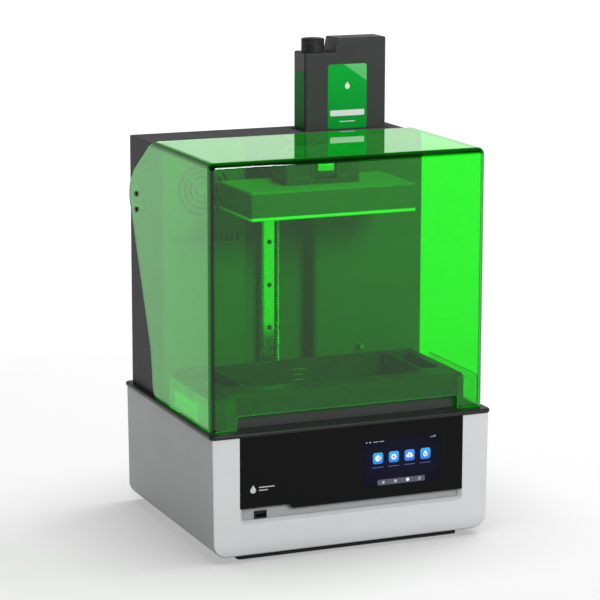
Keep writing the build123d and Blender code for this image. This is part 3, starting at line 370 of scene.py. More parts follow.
# cover: painted shade on the rounded corners and a painted green glow at grazing angles
tinted("cover_green", (0.045, 0.935, 0.05), ior=1.42, ghost=(0.28, 0.89, 0.30), streaks=1.0, painted_corner_shade=0.96, painted_grazing_glow=0.13)
tinted("guard_green", (0.22, 0.90, 0.23), ior=1.42, ghost=(0.60, 0.96, 0.62))
tinted("clear_lens", (0.96, 0.98, 0.99), ghost=(0.97, 0.98, 0.99))
tinted("clear_film", (0.97, 0.98, 0.98), ior=1.05, rough=0.05, ghost=(0.98, 0.98, 0.98))
tinted("led_lens", (0.95, 0.96, 1.0), ior=1.41)
glow("ui_blue", (0.010, 0.20, 0.72), 1.0, second=(0.03, 0.42, 0.98), span=(118.5, 136.0))
glow("ui_blue_deep", (0.02, 0.16, 0.72), 1.0, second=(0.05, 0.30, 0.95), span=(118.5, 136.0))
glow("ui_white", (0.86, 0.92, 0.98), 1.0)
glow("ui_dim", (0.10, 0.12, 0.28), 1.0)
glow("ui_bar", (0.085, 0.085, 0.12), 1.0)
glow("ui_grey", (0.45, 0.45, 0.50), 1.0)


# =====================================================================================
# mesh helpers
# =====================================================================================
def link(me, name, body, mat):
    ob = bpy.data.objects.new(name, me)
    ROOT.objects.link(ob)
    me.materials.clear()
    me.materials.append(MATS[mat])
    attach(ob, body)
    return ob


def bake(ob, angle=32.0):
    """Apply the modifiers, shade smooth across shallow edges."""
    dg = bpy.context.evaluated_depsgraph_get()
    me = bpy.data.meshes.new_from_object(ob.evaluated_get(dg), preserve_all_data_layers=True, depsgraph=dg)
    old = ob.data
    ob.modifiers.clear()
    ob.data = me
    bpy.data.meshes.remove(old)
    me.name = ob.name
    shade(me, angle)
    return ob


def shade(me, angle=32.0):
    if "custom_normal" in me.attributes:
        me.attributes.remove(me.attributes["custom_normal"])
    me.polygons.foreach_set("use_smooth", [True] * len(me.polygons))
    me.set_sharp_from_angle(angle=math.radians(angle))
    me.update()


def flatten(ob):
    """Area-weighted normals, so large flat faces stay optically flat next to their rounded edges."""
    m = ob.modifiers.new("normals", "WEIGHTED_NORMAL")
    m.mode = "FACE_AREA"
    m.weight = 100
    m.keep_sharp = True
    return ob


def from_bm(bm, name, body, mat, bevel=0.0, seg=2, angle=32.0, bevel_angle=38.0):
    me = bpy.data.meshes.new(name)
    bm.to_mesh(me)
    bm.free()
    ob = link(me, name, body, mat)
    if bevel:
        m = ob.modifiers.new("bevel", "BEVEL")
        m.width = bevel * K
        m.segments = seg
        m.limit_method = "ANGLE"
        m.angle_limit = math.radians(bevel_angle)
        m.use_clamp_overlap = True
        bpy.context.view_layer.update()
        bake(ob, angle)
    else:
        shade(me, angle)
    return flatten(ob)


def refine(node, bevel=0.35, seg=2, mat=None, angle=32.0, bevel_angle=38.0):
    """A welded, planar-faced copy of a CAD node with its sharp edges broken, standing for that node."""
    bm = bmesh.new()
    bm.from_mesh(NODES[node].data)
    bmesh.ops.remove_doubles(bm, verts=bm.verts, dist=2e-6)
    bmesh.ops.dissolve_limit(bm, angle_limit=math.radians(0.35), use_dissolve_boundaries=False,
                             verts=bm.verts, edges=bm.edges)
    bmesh.ops.recalc_face_normals(bm, faces=bm.faces)
    ob = from_bm(bm, node + "_finished", BODY[node], mat or SLOT[node], bevel, seg, angle, bevel_angle)
    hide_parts(node)
    return ob


def add_box(bm, x0, x1, y0, y1, z0, z1, r=0.0, seg=3, edges="all"):
    g = bmesh.ops.create_cube(bm, size=1.0)
    vs = g["verts"]
    for v in vs:
        v.co = Vector(((x0 + x1) / 2 + v.co.x * (x1 - x0), (y0 + y1) / 2 + v.co.y * (y1 - y0),
                       (z0 + z1) / 2 + v.co.z * (z1 - z0))) * K
    if r > 0:
        es = set(e for v in vs for e in v.link_edges)
        if edges != "all":
            ax = "xyz".index(edges)
            es = [e for e in es if abs((e.verts[0].co - e.verts[1].co)[ax]) > 1e-9]
        bmesh.ops.bevel(bm, geom=list(es), offset=r * K, segments=seg, profile=0.5, affect="EDGES")


def add_lathe(bm, profile, centre, axis="z", seg=48, flip=1):
    """Revolve (radius, height) points about an axis through centre; both ends close to the axis."""
    rings = []
    for r, h in profile:
        ring = []
        if r < 1e-6:
            ring = [bm.verts.new(place((0, 0, h * flip), centre, axis))]
        else:
            for i in range(seg):
                a = 2 * math.pi * i / seg
                ring.append(bm.verts.new(place((r * math.cos(a), r * math.sin(a), h * flip), centre, axis)))
        rings.append(ring)
    for a, b in zip(rings, rings[1:]):
        if len(a) == 1 and len(b) == 1:
            continue
        for i in range(seg):
            j = (i + 1) % seg
            if len(a) == 1:
                bm.faces.new((a[0], b[i], b[j]))
            elif len(b) == 1:
                bm.faces.new((a[i], a[j], b[0]))
            else:
                bm.faces.new((a[i], a[j], b[j], b[i]))


def place(p, c, axis):
    x, y, z = p
    if axis == "z":
        q = (x, y, z)
    elif axis == "y":
        q = (x, z, y)
    else:
        q = (z, x, y)
    return Vector((q[0] + c[0], q[1] + c[1], q[2] + c[2])) * K


def fix(bm):
    bmesh.ops.remove_doubles(bm, verts=bm.verts, dist=1e-7)
    bmesh.ops.recalc_face_normals(bm, faces=bm.faces)
    return bm


def add_plate(bm, pts, y, t):
    """Thin plate facing -Y from (x, z) points, front face at y, thickness t behind it."""
    f = [bm.verts.new(Vector((x, y, z)) * K) for x, z in pts]
    b = [bm.verts.new(Vector((x, y + t, z)) * K) for x, z in pts]
    n = len(pts)
    bm.faces.new(f)
    bm.faces.new(list(reversed(b)))
    for i in range(n):
        j = (i + 1) % n
        bm.faces.new((f[i], b[i], b[j], f[j]))


def round_rect(x0, x1, z0, z1, r, n=5):
    pts = []
    for cx, cz, a0 in ((x1 - r, z1 - r, 0), (x0 + r, z1 - r, 90), (x0 + r, z0 + r, 180), (x1 - r, z0 + r, 270)):
        for i in range(n + 1):
            a = math.radians(a0 + 90 * i / n)
            pts.append((cx + r * math.cos(a), cz + r * math.sin(a)))
    return pts


def disc(cx, cz, r, n=28, a0=0.0, a1=360.0):
    m = n if a1 - a0 >= 360 else n + 1
    return [(cx + r * math.cos(math.radians(a0 + (a1 - a0) * i / n)), cz + r * math.sin(math.radians(a0 + (a1 - a0) * i / n)))
            for i in range(m)]


def tube(name, pts, r, body, mat, closed=False, res=4):
    cu = bpy.data.curves.new(name, "CURVE")
    cu.dimensions = "3D"
    cu.bevel_depth = r * K
    cu.bevel_resolution = res
    cu.use_fill_caps = True
    sp = cu.splines.new("NURBS")
    sp.points.add(len(pts) - 1)
    for p, q in zip(sp.points, pts):
        p.co = (q[0] * K, q[1] * K, q[2] * K, 1)
    sp.order_u = 4
    sp.use_endpoint_u = not closed
    sp.use_cyclic_u = closed
    sp.resolution_u = 6
    tmp = bpy.data.objects.new(name + "_c", cu)
    ROOT.objects.link(tmp)
    dg = bpy.context.evaluated_depsgraph_get()
    me = bpy.data.meshes.new_from_object(tmp.evaluated_get(dg))
    bpy.data.objects.remove(tmp)
    bm = bmesh.new()
    bm.from_mesh(me)
    bpy.data.meshes.remove(me)
    fix(bm)
    return from_bm(bm, name, body, mat, 0)


# =====================================================================================
# the cover: one moulded sheet, rounded corners, curved rear outline
# =====================================================================================
LX = B("lid_shell")
HX, Y0, Z0, Z1 = LX[3], LX[1], LX[2], LX[5]
LT, LR = 4.0, 9.6
pin = next(j for j in REC["behaviour"]["joints"] if j["name"] == "lid_hinge")["pos_m"]
PY, PZ = pin[1] / K, pin[2] / K


def rear_outline():
    """(z, y) points of the cover's rear edge, from the bottom up."""
    pts = [(Z0, 57.0), (185.4, 62.0), (188.0, 66.4), (192.0, 69.8), (198.0, 71.9), (206.0, 72.5), (216.0, 73.4), (224.0, 74.9),
           (255.0, 80.2), (300.0, 99.0), (350.0, 119.6), (400.0, 140.2), (432.0, 153.5), (440.0, 157.3)]
    for a in (-33, -25, -17, -9, -1, 7, 15, 23, 31, 39, 47, 54):
        pts.append((466.0 + 35.9 * math.sin(math.radians(a)), 130.0 + 35.9 * math.cos(math.radians(a))))
    pts += [(498.8, 148.6), (502.0, 146.0), (506.0, 140.4), (520.0, 119.0), (540.0, 88.4), (Z1, 66.0)]
    return sorted(pts)


OUTLINE = rear_outline()


def rear_y(z):
    if z <= OUTLINE[0][0]:
        return OUTLINE[0][1]
    for (za, ya), (zb, yb) in zip(OUTLINE, OUTLINE[1:]):
        if z <= zb + 1e-9:
            return ya + (yb - ya) * (z - za) / max(zb - za, 1e-9)
    return OUTLINE[-1][1]


def cover():
    bm = bmesh.new()
    zs = sorted(set([z for z, _ in OUTLINE if z < Z1 - LR - 1] + [203.5, 330.0, 380.0, Z1 - LR]))
    na, nf = 8, 8

    def ring(inset):
        hx, r = HX - inset, max(LR - inset, 0.0)
        pts = [(-hx, z) for z in zs]
        for i in range(1, na):
            a = math.radians(180 - 90 * i / na)
            pts.append((-(HX - LR) + r * math.cos(a), Z1 - LR + r * math.sin(a)))
        pts.append((-(HX - LR), Z1 - LR + r))
        for x in (-120.0, -40.0, 40.0, 120.0):
            pts.append((x, Z1 - inset))
        pts.append((HX - LR, Z1 - LR + r))
        for i in range(1, na):
            a = math.radians(90 - 90 * i / na)
            pts.append(((HX - LR) + r * math.cos(a), Z1 - LR + r * math.sin(a)))
        pts += [(hx, z) for z in reversed(zs)]
        return pts

    rows = []
    base = ring(0.0)
    for f in (1.0, 0.72, 0.4, 0.12):
        rows.append([(x, (Y0 + LR) + (rear_y(z) - (Y0 + LR)) * f, z) for x, z in base])
    for i in range(nf + 1):
        t = math.radians(90 * i / nf)
        inset = LR * (1 - math.cos(t))
        rows.append([(x, Y0 + LR - LR * math.sin(t), z) for x, z in ring(inset)])
    vr = [[bm.verts.new(Vector(p) * K) for p in row] for row in rows]
    for a, b in zip(vr, vr[1:]):
        for i in range(len(a) - 1):
            bm.faces.new((a[i], a[i + 1], b[i + 1], b[i]))
    # front sheet with its low cut-out
    last = vr[-1]
    cut = [(168.0, Z0), (168.0, 199.0), (166.6, 202.1), (163.5, 203.5), (-163.5, 203.5), (-166.6, 202.1), (-168.0, 199.0), (-168.0, Z0)]
    cv = [bm.verts.new(Vector((x, Y0, z)) * K) for x, z in cut]
    bmesh.ops.remove_doubles(bm, verts=last, dist=1e-8)
    ring_ids = []
    for v in last:
        if v.is_valid and (not ring_ids or ring_ids[-1] is not v):
            ring_ids.append(v)
    bm.faces.new(ring_ids + cv)
    bmesh.ops.remove_doubles(bm, verts=bm.verts, dist=1e-7)
    bmesh.ops.recalc_face_normals(bm, faces=bm.faces)
    front = max(bm.faces, key=lambda f: f.calc_area() if abs(f.normal.y) > 0.9 else 0)
    if front.normal.y > 0:
        bmesh.ops.reverse_faces(bm, faces=bm.faces)
    me = bpy.data.meshes.new("cover_sheet")
    bm.to_mesh(me)
    bm.free()
    ob = link(me, "cover_sheet", "lid", "cover_green")
    m = ob.modifiers.new("wall", "SOLIDIFY")
    m.thickness = LT * K
    m.offset = -1.0
    m.use_even_offset = True
    m.use_rim = True
    m2 = ob.modifiers.new("edge", "BEVEL")
    m2.width = 0.5 * K
    m2.segments = 2
    m2.limit_method = "ANGLE"
    m2.angle_limit = math.radians(60)
    bpy.context.view_layer.update()
    bake(ob, 30)
    flatten(ob)
    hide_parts("lid_shell")
    return ob


cover()

# guard strips inside the lower front corners
for s, side in ((-1, "left"), (1, "right")):
    bm = bmesh.new()
    gx, gy = HX - LT, Y0 + LT
    out = [(gx - 0.15, 2.8)]
    out += [(gx - 0.15, gy + 6.0)]
    for i in range(7):
        a = math.radians(0 - 90 * i / 6)
        out.append((gx - 6.0 + 5.85 * math.cos(a), gy + 6.0 + 5.85 * math.sin(a)))
    out += [(168.2, gy + 0.15), (168.2, gy + 2.3)]
    inn = []
    for i in range(7):
        a = math.radians(-90 + 90 * i / 6)
        inn.append((gx - 6.0 + 3.7 * math.cos(a), gy + 6.0 + 3.7 * math.sin(a)))
    out += inn + [(gx - 2.3, 2.8)]
    lo = [bm.verts.new(Vector((s * x, y, 184.2)) * K) for x, y in out]
    hi = [bm.verts.new(Vector((s * x, y, 228.8)) * K) for x, y in out]
    bm.faces.new(lo)
    bm.faces.new(list(reversed(hi)))
    for i in range(len(out)):
        j = (i + 1) % len(out)
        bm.faces.new((lo[i], hi[i], hi[j], lo[j]))
    fix(bm)
    g = from_bm(bm, "cover_guard_" + side, "lid", "guard_green", 0.25, 1)
    if s < 0:
        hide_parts("lid_guards")

# =====================================================================================
# housing pieces whose CAD shape is right: welded copies with broken edges
# =====================================================================================
for node, bv in (("base_shell", 0.5), ("front_glass", 0.25), ("touch_screen", 0.1), ("deck", 0.25), ("tower_shell", 0.3),
                 ("vat_body", 0.7), ("platform_body", 0.5), ("build_surface", 0.25), ("head_block", 0.7), ("arm_bracket", 0.6),
                 ("vat_clamps", 0.5), ("z_column", 0.4), ("rear_panel", 0.15), ("tower_rear_cover", 0.15), ("power_inlet", 0.3),
                 ("switch_frame", 0.3), ("power_rocker", 0.5), ("bottle_well", 0.4), ("bottle_body", 0.4), ("usb_port", 0.2),
                 ("foot_rails", 0.8), ("rail_carriage", 0.4), ("cooling_fan_frame", 0.4),
                 ("filter_fan_frame", 0.4), ("hinge_brackets", 0.4), ("film_frame", 0.2), ("lcd_panel", 0.15), ("bottom_plate", 0.1),
                 ("power_supply", 0.4), ("z_motor", 0.5), ("led_heatsink", 0.2), ("feed_pump", 0.6), ("top_bearing", 0.3)):
    refine(node, bv)

# release lever: dark arm with a bright finger tab on its upper edge
refine("release_lever", 0.5, mat="arm_coat")
rl = B("release_lever")
bm = bmesh.new()
add_box(bm, -8.3, 16.3, rl[1] - 0.25, rl[1] + 1.2, 520.2, 529.3, 0.5, 2)
fix(bm)
from_bm(bm, "lever_tab", "release_lever", "lever_metal", 0)

# everything else keeps its CAD mesh and gets its material
for n, o in NODES.items():
    if not o.hide_render:
        o.data.materials.clear()
        o.data.materials.append(MATS[SLOT[n]])
        o.data.polygons.foreach_set("material_index", [0] * len(o.data.polygons))

# =====================================================================================
# lead screw with a real thread
# =====================================================================================
def lead_screw():
    b = B("lead_screw")
    cx, cy = (b[0] + b[3]) / 2, (b[1] + b[4]) / 2
    r1 = (b[3] - b[0]) / 2 - 0.02
    r0, pitch, z0, z1 = r1 - 0.95, 4.0, b[2], b[5]
    na, per = 20, 8
    rows = int((z1 - z0) / pitch * per)
    bm = bmesh.new()
    rings = []
    for k in range(rows + 1):
        z = z0 + (z1 - z0) * k / rows
        ring = []
        for i in range(na):
            a = 2 * math.pi * i / na
            ph = ((z - z0) / pitch - i / na) % 1.0
            tri = abs(ph * 2 - 1)                       # 1 crest, 0 root
            w = min(1.0, max(0.0, (tri - 0.22) / 0.56))
            ends = min(1.0, (z - z0) / 2.0, (z1 - z) / 2.0)
            r = r0 + (r1 - r0) * w * max(0.0, ends)
            ring.append(bm.verts.new(Vector((cx + r * math.cos(a), cy + r * math.sin(a), z)) * K))
        rings.append(ring)
    for a, c in zip(rings, rings[1:]):
        for i in range(na):
            j = (i + 1) % na
            bm.faces.new((a[i], a[j], c[j], c[i]))
    bm.faces.new(list(reversed(rings[0])))
    bm.faces.new(rings[-1])
    ob = from_bm(bm, "lead_screw_thread", "screw_drive", "screw_steel", 0, angle=50)
    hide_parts("lead_screw")


lead_screw()

# =====================================================================================
# touch screen picture: raised by a few hundredths of a millimetre, generic signs only
# =====================================================================================
SY = B("touch_screen")[1]
SX0, SZ0, SX1, SZ1 = B("touch_screen")[0], B("touch_screen")[2], B("touch_screen")[3], B("touch_screen")[5]


def sign(name, polys, mat, lift=0.05, t=0.03):
    bm = bmesh.new()
    for p in polys:
        add_plate(bm, p, SY - lift, t)
    fix(bm)
    return from_bm(bm, name, "housing", mat, 0)


ICON_X = (38.0, 62.4, 86.7, 111.2)
ICON_Z = 127.4
for i, cx in enumerate(ICON_X):
    sign("screen_tile_%d" % (i + 1), [round_rect(cx - 7.8, cx + 7.8, ICON_Z - 8.0, ICON_Z + 8.0, 3.4)],
         "ui_blue" if i != 2 else "ui_blue_deep", 0.05)
# tile signs: pie, gear, cloud, droplet
sign("screen_sign_pie", [[(38.0, ICON_Z)] + disc(38.0, ICON_Z, 4.4, 26, 40, 320), [(39.2, ICON_Z + 0.1)] + disc(39.2, ICON_Z + 0.1, 4.0, 8, -32, 32)],
     "ui_white", 0.09)
gear = []
for k in range(8):
    a = 2 * math.pi * k / 8
    for da, r in ((-0.26, 3.6), (-0.16, 4.7), (0.16, 4.7), (0.26, 3.6)):
        gear.append((62.4 + r * math.cos(a + da), ICON_Z + r * math.sin(a + da)))
sign("screen_sign_gear", [gear], "ui_white", 0.09)
sign("screen_sign_gear_hub", [disc(62.4, ICON_Z, 1.6)], "ui_blue", 0.13)
cloud = disc(84.0, ICON_Z - 0.6, 2.6, 10, 90, 270) + disc(89.6, ICON_Z - 0.8, 2.4, 10, -90, 60) + disc(87.0, ICON_Z + 1.2, 3.2, 12, 10, 160)
sign("screen_sign_cloud", [cloud], "ui_white", 0.09)
sign("screen_sign_cloud_arrow", [[(86.8, ICON_Z + 1.6), (85.2, ICON_Z - 0.4), (86.3, ICON_Z - 0.4), (86.3, ICON_Z - 2.6), (87.3, ICON_Z - 2.6), (87.3, ICON_Z - 0.4), (88.4, ICON_Z - 0.4)]],
     "ui_blue_deep", 0.13)
drop = [(111.2, ICON_Z + 5.2)] + disc(111.2, ICON_Z - 1.2, 3.3, 20, 150 - 360, 30)
sign("screen_sign_drop", [drop[:1] + list(reversed(drop[1:]))], "ui_white", 0.09)
sign("screen_sign_drop_core", [disc(111.2, ICON_Z - 1.4, 1.5)], "ui_blue", 0.13)
for i, cx in enumerate(ICON_X):
    sign("screen_line_%d" % (i + 1), [round_rect(cx - 8.5, cx + 8.5, 113.8, 114.7, 0.4, 2)], "ui_dim", 0.05)
sign("screen_bar", [round_rect(37.4, 110.8, 88.0, 96.0, 2.0)], "ui_bar", 0.05)
sign("screen_bar_home", [disc(46.5, 91.9, 2.1)], "ui_grey", 0.09)
sign("screen_bar_info", [disc(65.2, 92.0, 2.3)], "ui_grey", 0.09)
sign("screen_bar_user", [disc(84.1, 92.3, 2.5)], "ui_white", 0.09)
sign("screen_bar_list", [[(100.4, 94.2), (104.4, 94.2), (104.4, 93.2), (100.4, 93.2)], [(100.4, 92.6), (104.4, 92.6), (104.4, 91.6), (100.4, 91.6)],
                         [(100.4, 91.0), (104.4, 91.0), (104.4, 90.0), (100.4, 90.0)]], "ui_grey", 0.09)
sign("screen_status", [disc(20.3, 151.4, 1.0, 12), round_rect(24.0, 27.4, 150.7, 152.1, 0.6, 3), round_rect(30.5, 38.0, 150.9, 151.8, 0.4, 2),
                       round_rect(39.5, 47.0, 150.9, 151.8, 0.4, 2)], "ui_grey", 0.05)
sign("screen_signal", [[(118.0 + k * 2.4, 150.3), (119.4 + k * 2.4, 150.3), (119.4 + k * 2.4, 151.0 + k * 0.55), (118.0 + k * 2.4, 151.0 + k * 0.55)]
                       for k in range(4)], "ui_grey", 0.05)

# small neutral print on the black glass: a drop outline and two plain bars
GY = B("front_glass")[1]
bm = bmesh.new()
ring_o = [(-150.0, 108.5)] + list(reversed(disc(-150.0, 101.0, 4.2, 18, 150 - 360, 30)))
add_plate(bm, ring_o, GY - 0.04, 0.03)
add_plate(bm, round_rect(-141.5, -118.0, 103.8, 105.2, 0.7, 3), GY - 0.04, 0.03)
add_plate(bm, round_rect(-141.5, -128.0, 99.6, 101.0, 0.7, 3), GY - 0.04, 0.03)
fix(bm)
from_bm(bm, "glass_print", "housing", "print_grey", 0)

# =====================================================================================
# bottle labels and details
# =====================================================================================
LB = B("bottle_labels")
FY = LB[1]
lx0, lx1, lz0, lz1 = 84.4, 146.6, LB[2], LB[5]
bm = bmesh.new()
add_plate(bm, round_rect(lx0, lx1, lz0, lz1, 4.0, 6), FY, 0.28)
fix(bm)
lab = from_bm(bm, "label_front", "bottle", "label_green", 0.08, 1)
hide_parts("bottle_labels")
bm = bmesh.new()
tri = [(109.5, lz1 - 0.2), (lx1 - 0.2, 621.5)]
for i in range(7):
    a = math.radians(0 + 90 * i / 6)
    tri.append((lx1 - 0.2 - 3.8 + 3.8 * math.cos(a), lz1 - 0.2 - 3.8 + 3.8 * math.sin(a)))
add_plate(bm, tri, FY - 0.02, 0.02)
fix(bm)
from_bm(bm, "label_corner", "bottle", "label_light", 0)
bm = bmesh.new()
add_plate(bm, round_rect(88.2, 142.9, 570.6, 579.2, 1.6, 5), FY - 0.02, 0.02)
fix(bm)
from_bm(bm, "label_plate", "bottle", "label_white", 0)
bm = bmesh.new()
d = [(115.5, 620.8)] + list(reversed(disc(115.5, 614.0, 3.9, 18, 150 - 360, 30)))
add_plate(bm, d, FY - 0.02, 0.02)
add_plate(bm, round_rect(103.0, 128.0, 561.6, 562.8, 0.5, 2), FY - 0.02, 0.02)
fix(bm)
from_bm(bm, "label_drop", "bottle", "label_white", 0)
# side label
bx0 = LB[0]
bm = bmesh.new()
pts = [(y, z) for y, z in round_rect(116.5, 151.5, 552.0, 637.0, 3.0, 5)]
f = [bm.verts.new(Vector((bx0, y, z)) * K) for y, z in pts]
b_ = [bm.verts.new(Vector((bx0 + 0.28, y, z)) * K) for y, z in pts]
bm.faces.new(f)
bm.faces.new(list(reversed(b_)))
for i in range(len(pts)):
    j = (i + 1) % len(pts)
    bm.faces.new((f[i], b_[i], b_[j], f[j]))
fix(bm)
from_bm(bm, "label_side", "bottle", "label_green", 0)
# a ring on the cap
cb = B("bottle_cap")
ccx, ccy = (cb[0] + cb[3]) / 2, (cb[1] + cb[4]) / 2
bm = bmesh.new()
add_lathe(bm, [(12.6, 0.0), (12.6, 0.25), (11.9, 0.5), (10.4, 0.5), (10.0, 0.2), (10.0, 0.0), (12.6, 0.0)], (ccx, ccy, cb[5] - 0.02), seg=64)
fix(bm)
from_bm(bm, "cap_ring", "bottle_cap", "cap_plastic", 0)


# =====================================================================================
# fasteners and small parts
# =====================================================================================
def socket_screw(bm, c, axis, r=2.75, h=3.0, flip=1):
    """Cap screw head with a hexagon recess, head top at h above c."""
    prof = [(0.0, 0.0), (r, 0.0), (r, h - 0.35), (r - 0.35, h), (r * 0.52, h), (r * 0.5, h - 1.4), (0.0, h - 1.5)]
    add_lathe(bm, prof, c, axis, seg=24, flip=flip)


bm = bmesh.new()
for x, y, z in ((-51.5, 12.0, 532), (-51.5, 36.0, 486), (-8.5, 36.0, 486), (-22.0, 36.0, 486)):
    socket_screw(bm, (x, y + 0.02, z), "y", 2.5, 2.6, -1)
fix(bm)
from_bm(bm, "arm_plate_screws", "carriage", "black_steel", 0)
bm = bmesh.new()
hb = B("head_block")
for x, y in ((-44, -56), (-44, -26), (44, -56), (44, -26)):
    socket_screw(bm, (x, y, hb[5] - 0.02), "z", 3.6, 2.6)
fix(bm)
from_bm(bm, "head_screws", "carriage", "black_steel", 0)
# level marks on the vat's rear wall
bm = bmesh.new()
for z in (200.0, 208.0, 216.0):
    add_box(bm, -12 if z == 216 else -7, 12 if z == 216 else 7, 21.9, 22.05, z, z + 0.7)
fix(bm)
from_bm(bm, "vat_level_marks", "housing", "print_grey", 0)
# clamp knob caps
for s, side in ((-1, "left"), (1, "right")):
    kb = B("vat_knob_" + side)
    c = ((kb[0] + kb[3]) / 2, (kb[1] + kb[4]) / 2, kb[5] - 0.05)
    bm = bmesh.new()
    add_lathe(bm, [(0, 0), (4.8, 0), (4.8, 0.5), (4.3, 0.9), (2.0, 1.15), (0, 1.2)], c, "z", 40)
    fix(bm)
    from_bm(bm, "knob_cap_" + side, "knob_" + side, "clamp_metal", 0)

# rear: fan guard wires and screws
fb = B("cooling_fan_frame")
fcx, fcz, ry = (fb[0] + fb[3]) / 2, (fb[2] + fb[5]) / 2, B("rear_panel")[4]
bm = bmesh.new()
for sx in (-1, 1):
    for sz in (-1, 1):
        socket_screw(bm, (fcx + sx * 35.75, ry, fcz + sz * 35.75), "y", 2.6, 1.6)
for x, z in ((-178, 38), (178, 38), (-178, 158), (178, 158), (0, 38), (0, 158)):
    socket_screw(bm, (x, ry, z), "y", 2.6, 1.6)
fix(bm)
from_bm(bm, "rear_panel_screws", "housing", "black_steel", 0)
for k, r in enumerate((12.0, 21.0, 30.0)):
    pts = [(fcx + r * math.cos(2 * math.pi * i / 16), ry + 1.0, fcz + r * math.sin(2 * math.pi * i / 16)) for i in range(16)]
    tube("fan_guard_ring_%d" % (k + 1), pts, 0.8, "housing", "rail_steel", closed=True)
for k in range(2):
    a = math.radians(45 + 90 * k)
    tube("fan_guard_spoke_%d" % (k + 1), [(fcx - 49.5 * math.cos(a), ry + 0.7, fcz - 49.5 * math.sin(a)), (fcx - 18 * math.cos(a), ry + 1.6, fcz - 18 * math.sin(a)),
                                         (fcx + 18 * math.cos(a), ry + 1.6, fcz + 18 * math.sin(a)), (fcx + 49.5 * math.cos(a), ry + 0.7, fcz + 49.5 * math.sin(a))],
         0.8, "housing", "rail_steel")

# internal wiring between supply, board, screen and motor
tube("cable_power_a", [(-106, 60, 34), (-60, 70, 20), (20, 80, 18), (80, 70, 22), (112, 60, 24)], 1.6, "housing", "cable_red")
tube("cable_power_b", [(-106, 66, 34), (-60, 78, 20), (20, 88, 18), (80, 78, 22), (112, 66, 24)], 1.6, "housing", "cable_black")
tube("cable_mains", [(-154, 152, 62), (-154, 142, 60), (-154, 136, 50), (-150, 130, 44)], 2.2, "housing", "cable_black")
tube("cable_motor", [(-17, 82, 138), (-17, 100, 130), (60, 110, 70), (110, 100, 40), (120, 90, 26)], 1.8, "housing", "cable_black")
tube("cable_screen", [(75, -160, 110), (80, -150, 70), (110, -120, 40), (130, -80, 28), (136, -58, 26)], 2.0, "housing", "cable_black")

# parts on the main board
mb = B("main_board")
bm = bmesh.new()
for i in range(7):
    x = mb[0] + 30 + (i % 2) * 24
    y = mb[1] + 84 + i * 12
    add_box(bm, x, x + 9, y, y + 7, 19.6, 21.2, 0.25, 1)
for i in range(10):
    add_box(bm, mb[0] + 28 + i * 3.6, mb[0] + 30 + i * 3.6, mb[1] + 30, mb[1] + 34, 19.6, 20.6, 0.15, 1)
fix(bm)
from_bm(bm, "board_chips", "housing", "chip_black", 0)
bm = bmesh.new()
for i in range(6):
    for j in range(4):
        add_box(bm, mb[0] + 15 + j * 2.2, mb[0] + 16 + j * 2.2, mb[1] + 14 + i * 24, mb[1] + 15 + i * 24, 29, 30.2, 0.1, 1)
fix(bm)
from_bm(bm, "board_pins", "housing", "solder_gold", 0)

# =====================================================================================
# stage: pale floor, soft light, camera at the photograph's angle
# =====================================================================================
def floor():
    t = Tree("stage_floor")
    x, y, z = t.sep()[:3]
    r = t.math("SQRT", t.math("ADD", t.math("MULTIPLY", x, x), t.math("MULTIPLY", y, y)))
    near = t.remap(r, 1.0, 3.5, FLOOR_GLOW, 1.0)
    # painted contact shadow: the floor's glow is dimmed by ambient occlusion near the object
    ao = t.n("ShaderNodeAmbientOcclusion", {"Distance": 0.22}, samples=12).outputs["AO"]
    near = t.math("MULTIPLY", near, t.remap(ao, 0.45, 1.0, 0.55, 1.0))
    lp = t.n("ShaderNodeLightPath")
    near = t.math("MULTIPLY", near, t.remap(lp.outputs["Is Diffuse Ray"], 0.0, 1.0, 1.0, 0.45))
    tone = t.remap(t.noise(0.8, 2.0), 0.3, 0.7, 0.995, 1.0)
    d = t.n("ShaderNodeBsdfDiffuse", {"Color": (0.36, 0.36, 0.36), "Roughness": 0.5})
    e = t.n("ShaderNodeEmission", {"Color": (1, 1, 1), "Strength": t.math("MULTIPLY", tone, near)})
    t.finish(t.n("ShaderNodeAddShader", {0: d.outputs[0], 1: e.outputs[0]}), "stage_floor")
    MATS["stage_floor"].cycles.emission_sampling = "NONE"
    me = bpy.data.meshes.new("stage_floor")
    s = 60.0
    me.from_pydata([(-s, -s, 0), (s, -s, 0), (s, s, 0), (-s, s, 0)], [], [(0, 1, 2, 3)])
    ob = bpy.data.objects.new("stage_floor", me)
    ROOT.objects.link(ob)
    me.materials.append(MATS["stage_floor"])
    return ob


FLOOR_GLOW = 0.74
FLOOR = floor()


def area(name, loc, target, size, power, color=(1, 1, 1), sy=None, spread=180):
    li = bpy.data.lights.new(name, "AREA")
    li.shape = "RECTANGLE"
    li.size = size
    li.size_y = sy or size
    li.energy = power
    li.color = color
    li.spread = math.radians(spread)
    ob = bpy.data.objects.new(name, li)
    ROOT.objects.link(ob)
    ob.location = loc
    ob.rotation_euler = (Vector(target) - Vector(loc)).to_track_quat("-Z", "Y").to_euler()
    return ob


def linked(lamp, name, state):
    """Light only the floor (INCLUDE) or everything but the floor (EXCLUDE)."""
    c = bpy.data.collections.new(name)
    c.objects.link(FLOOR)
    lamp.light_linking.receiver_collection = c
    c.collection_objects[0].light_linking.link_state = state


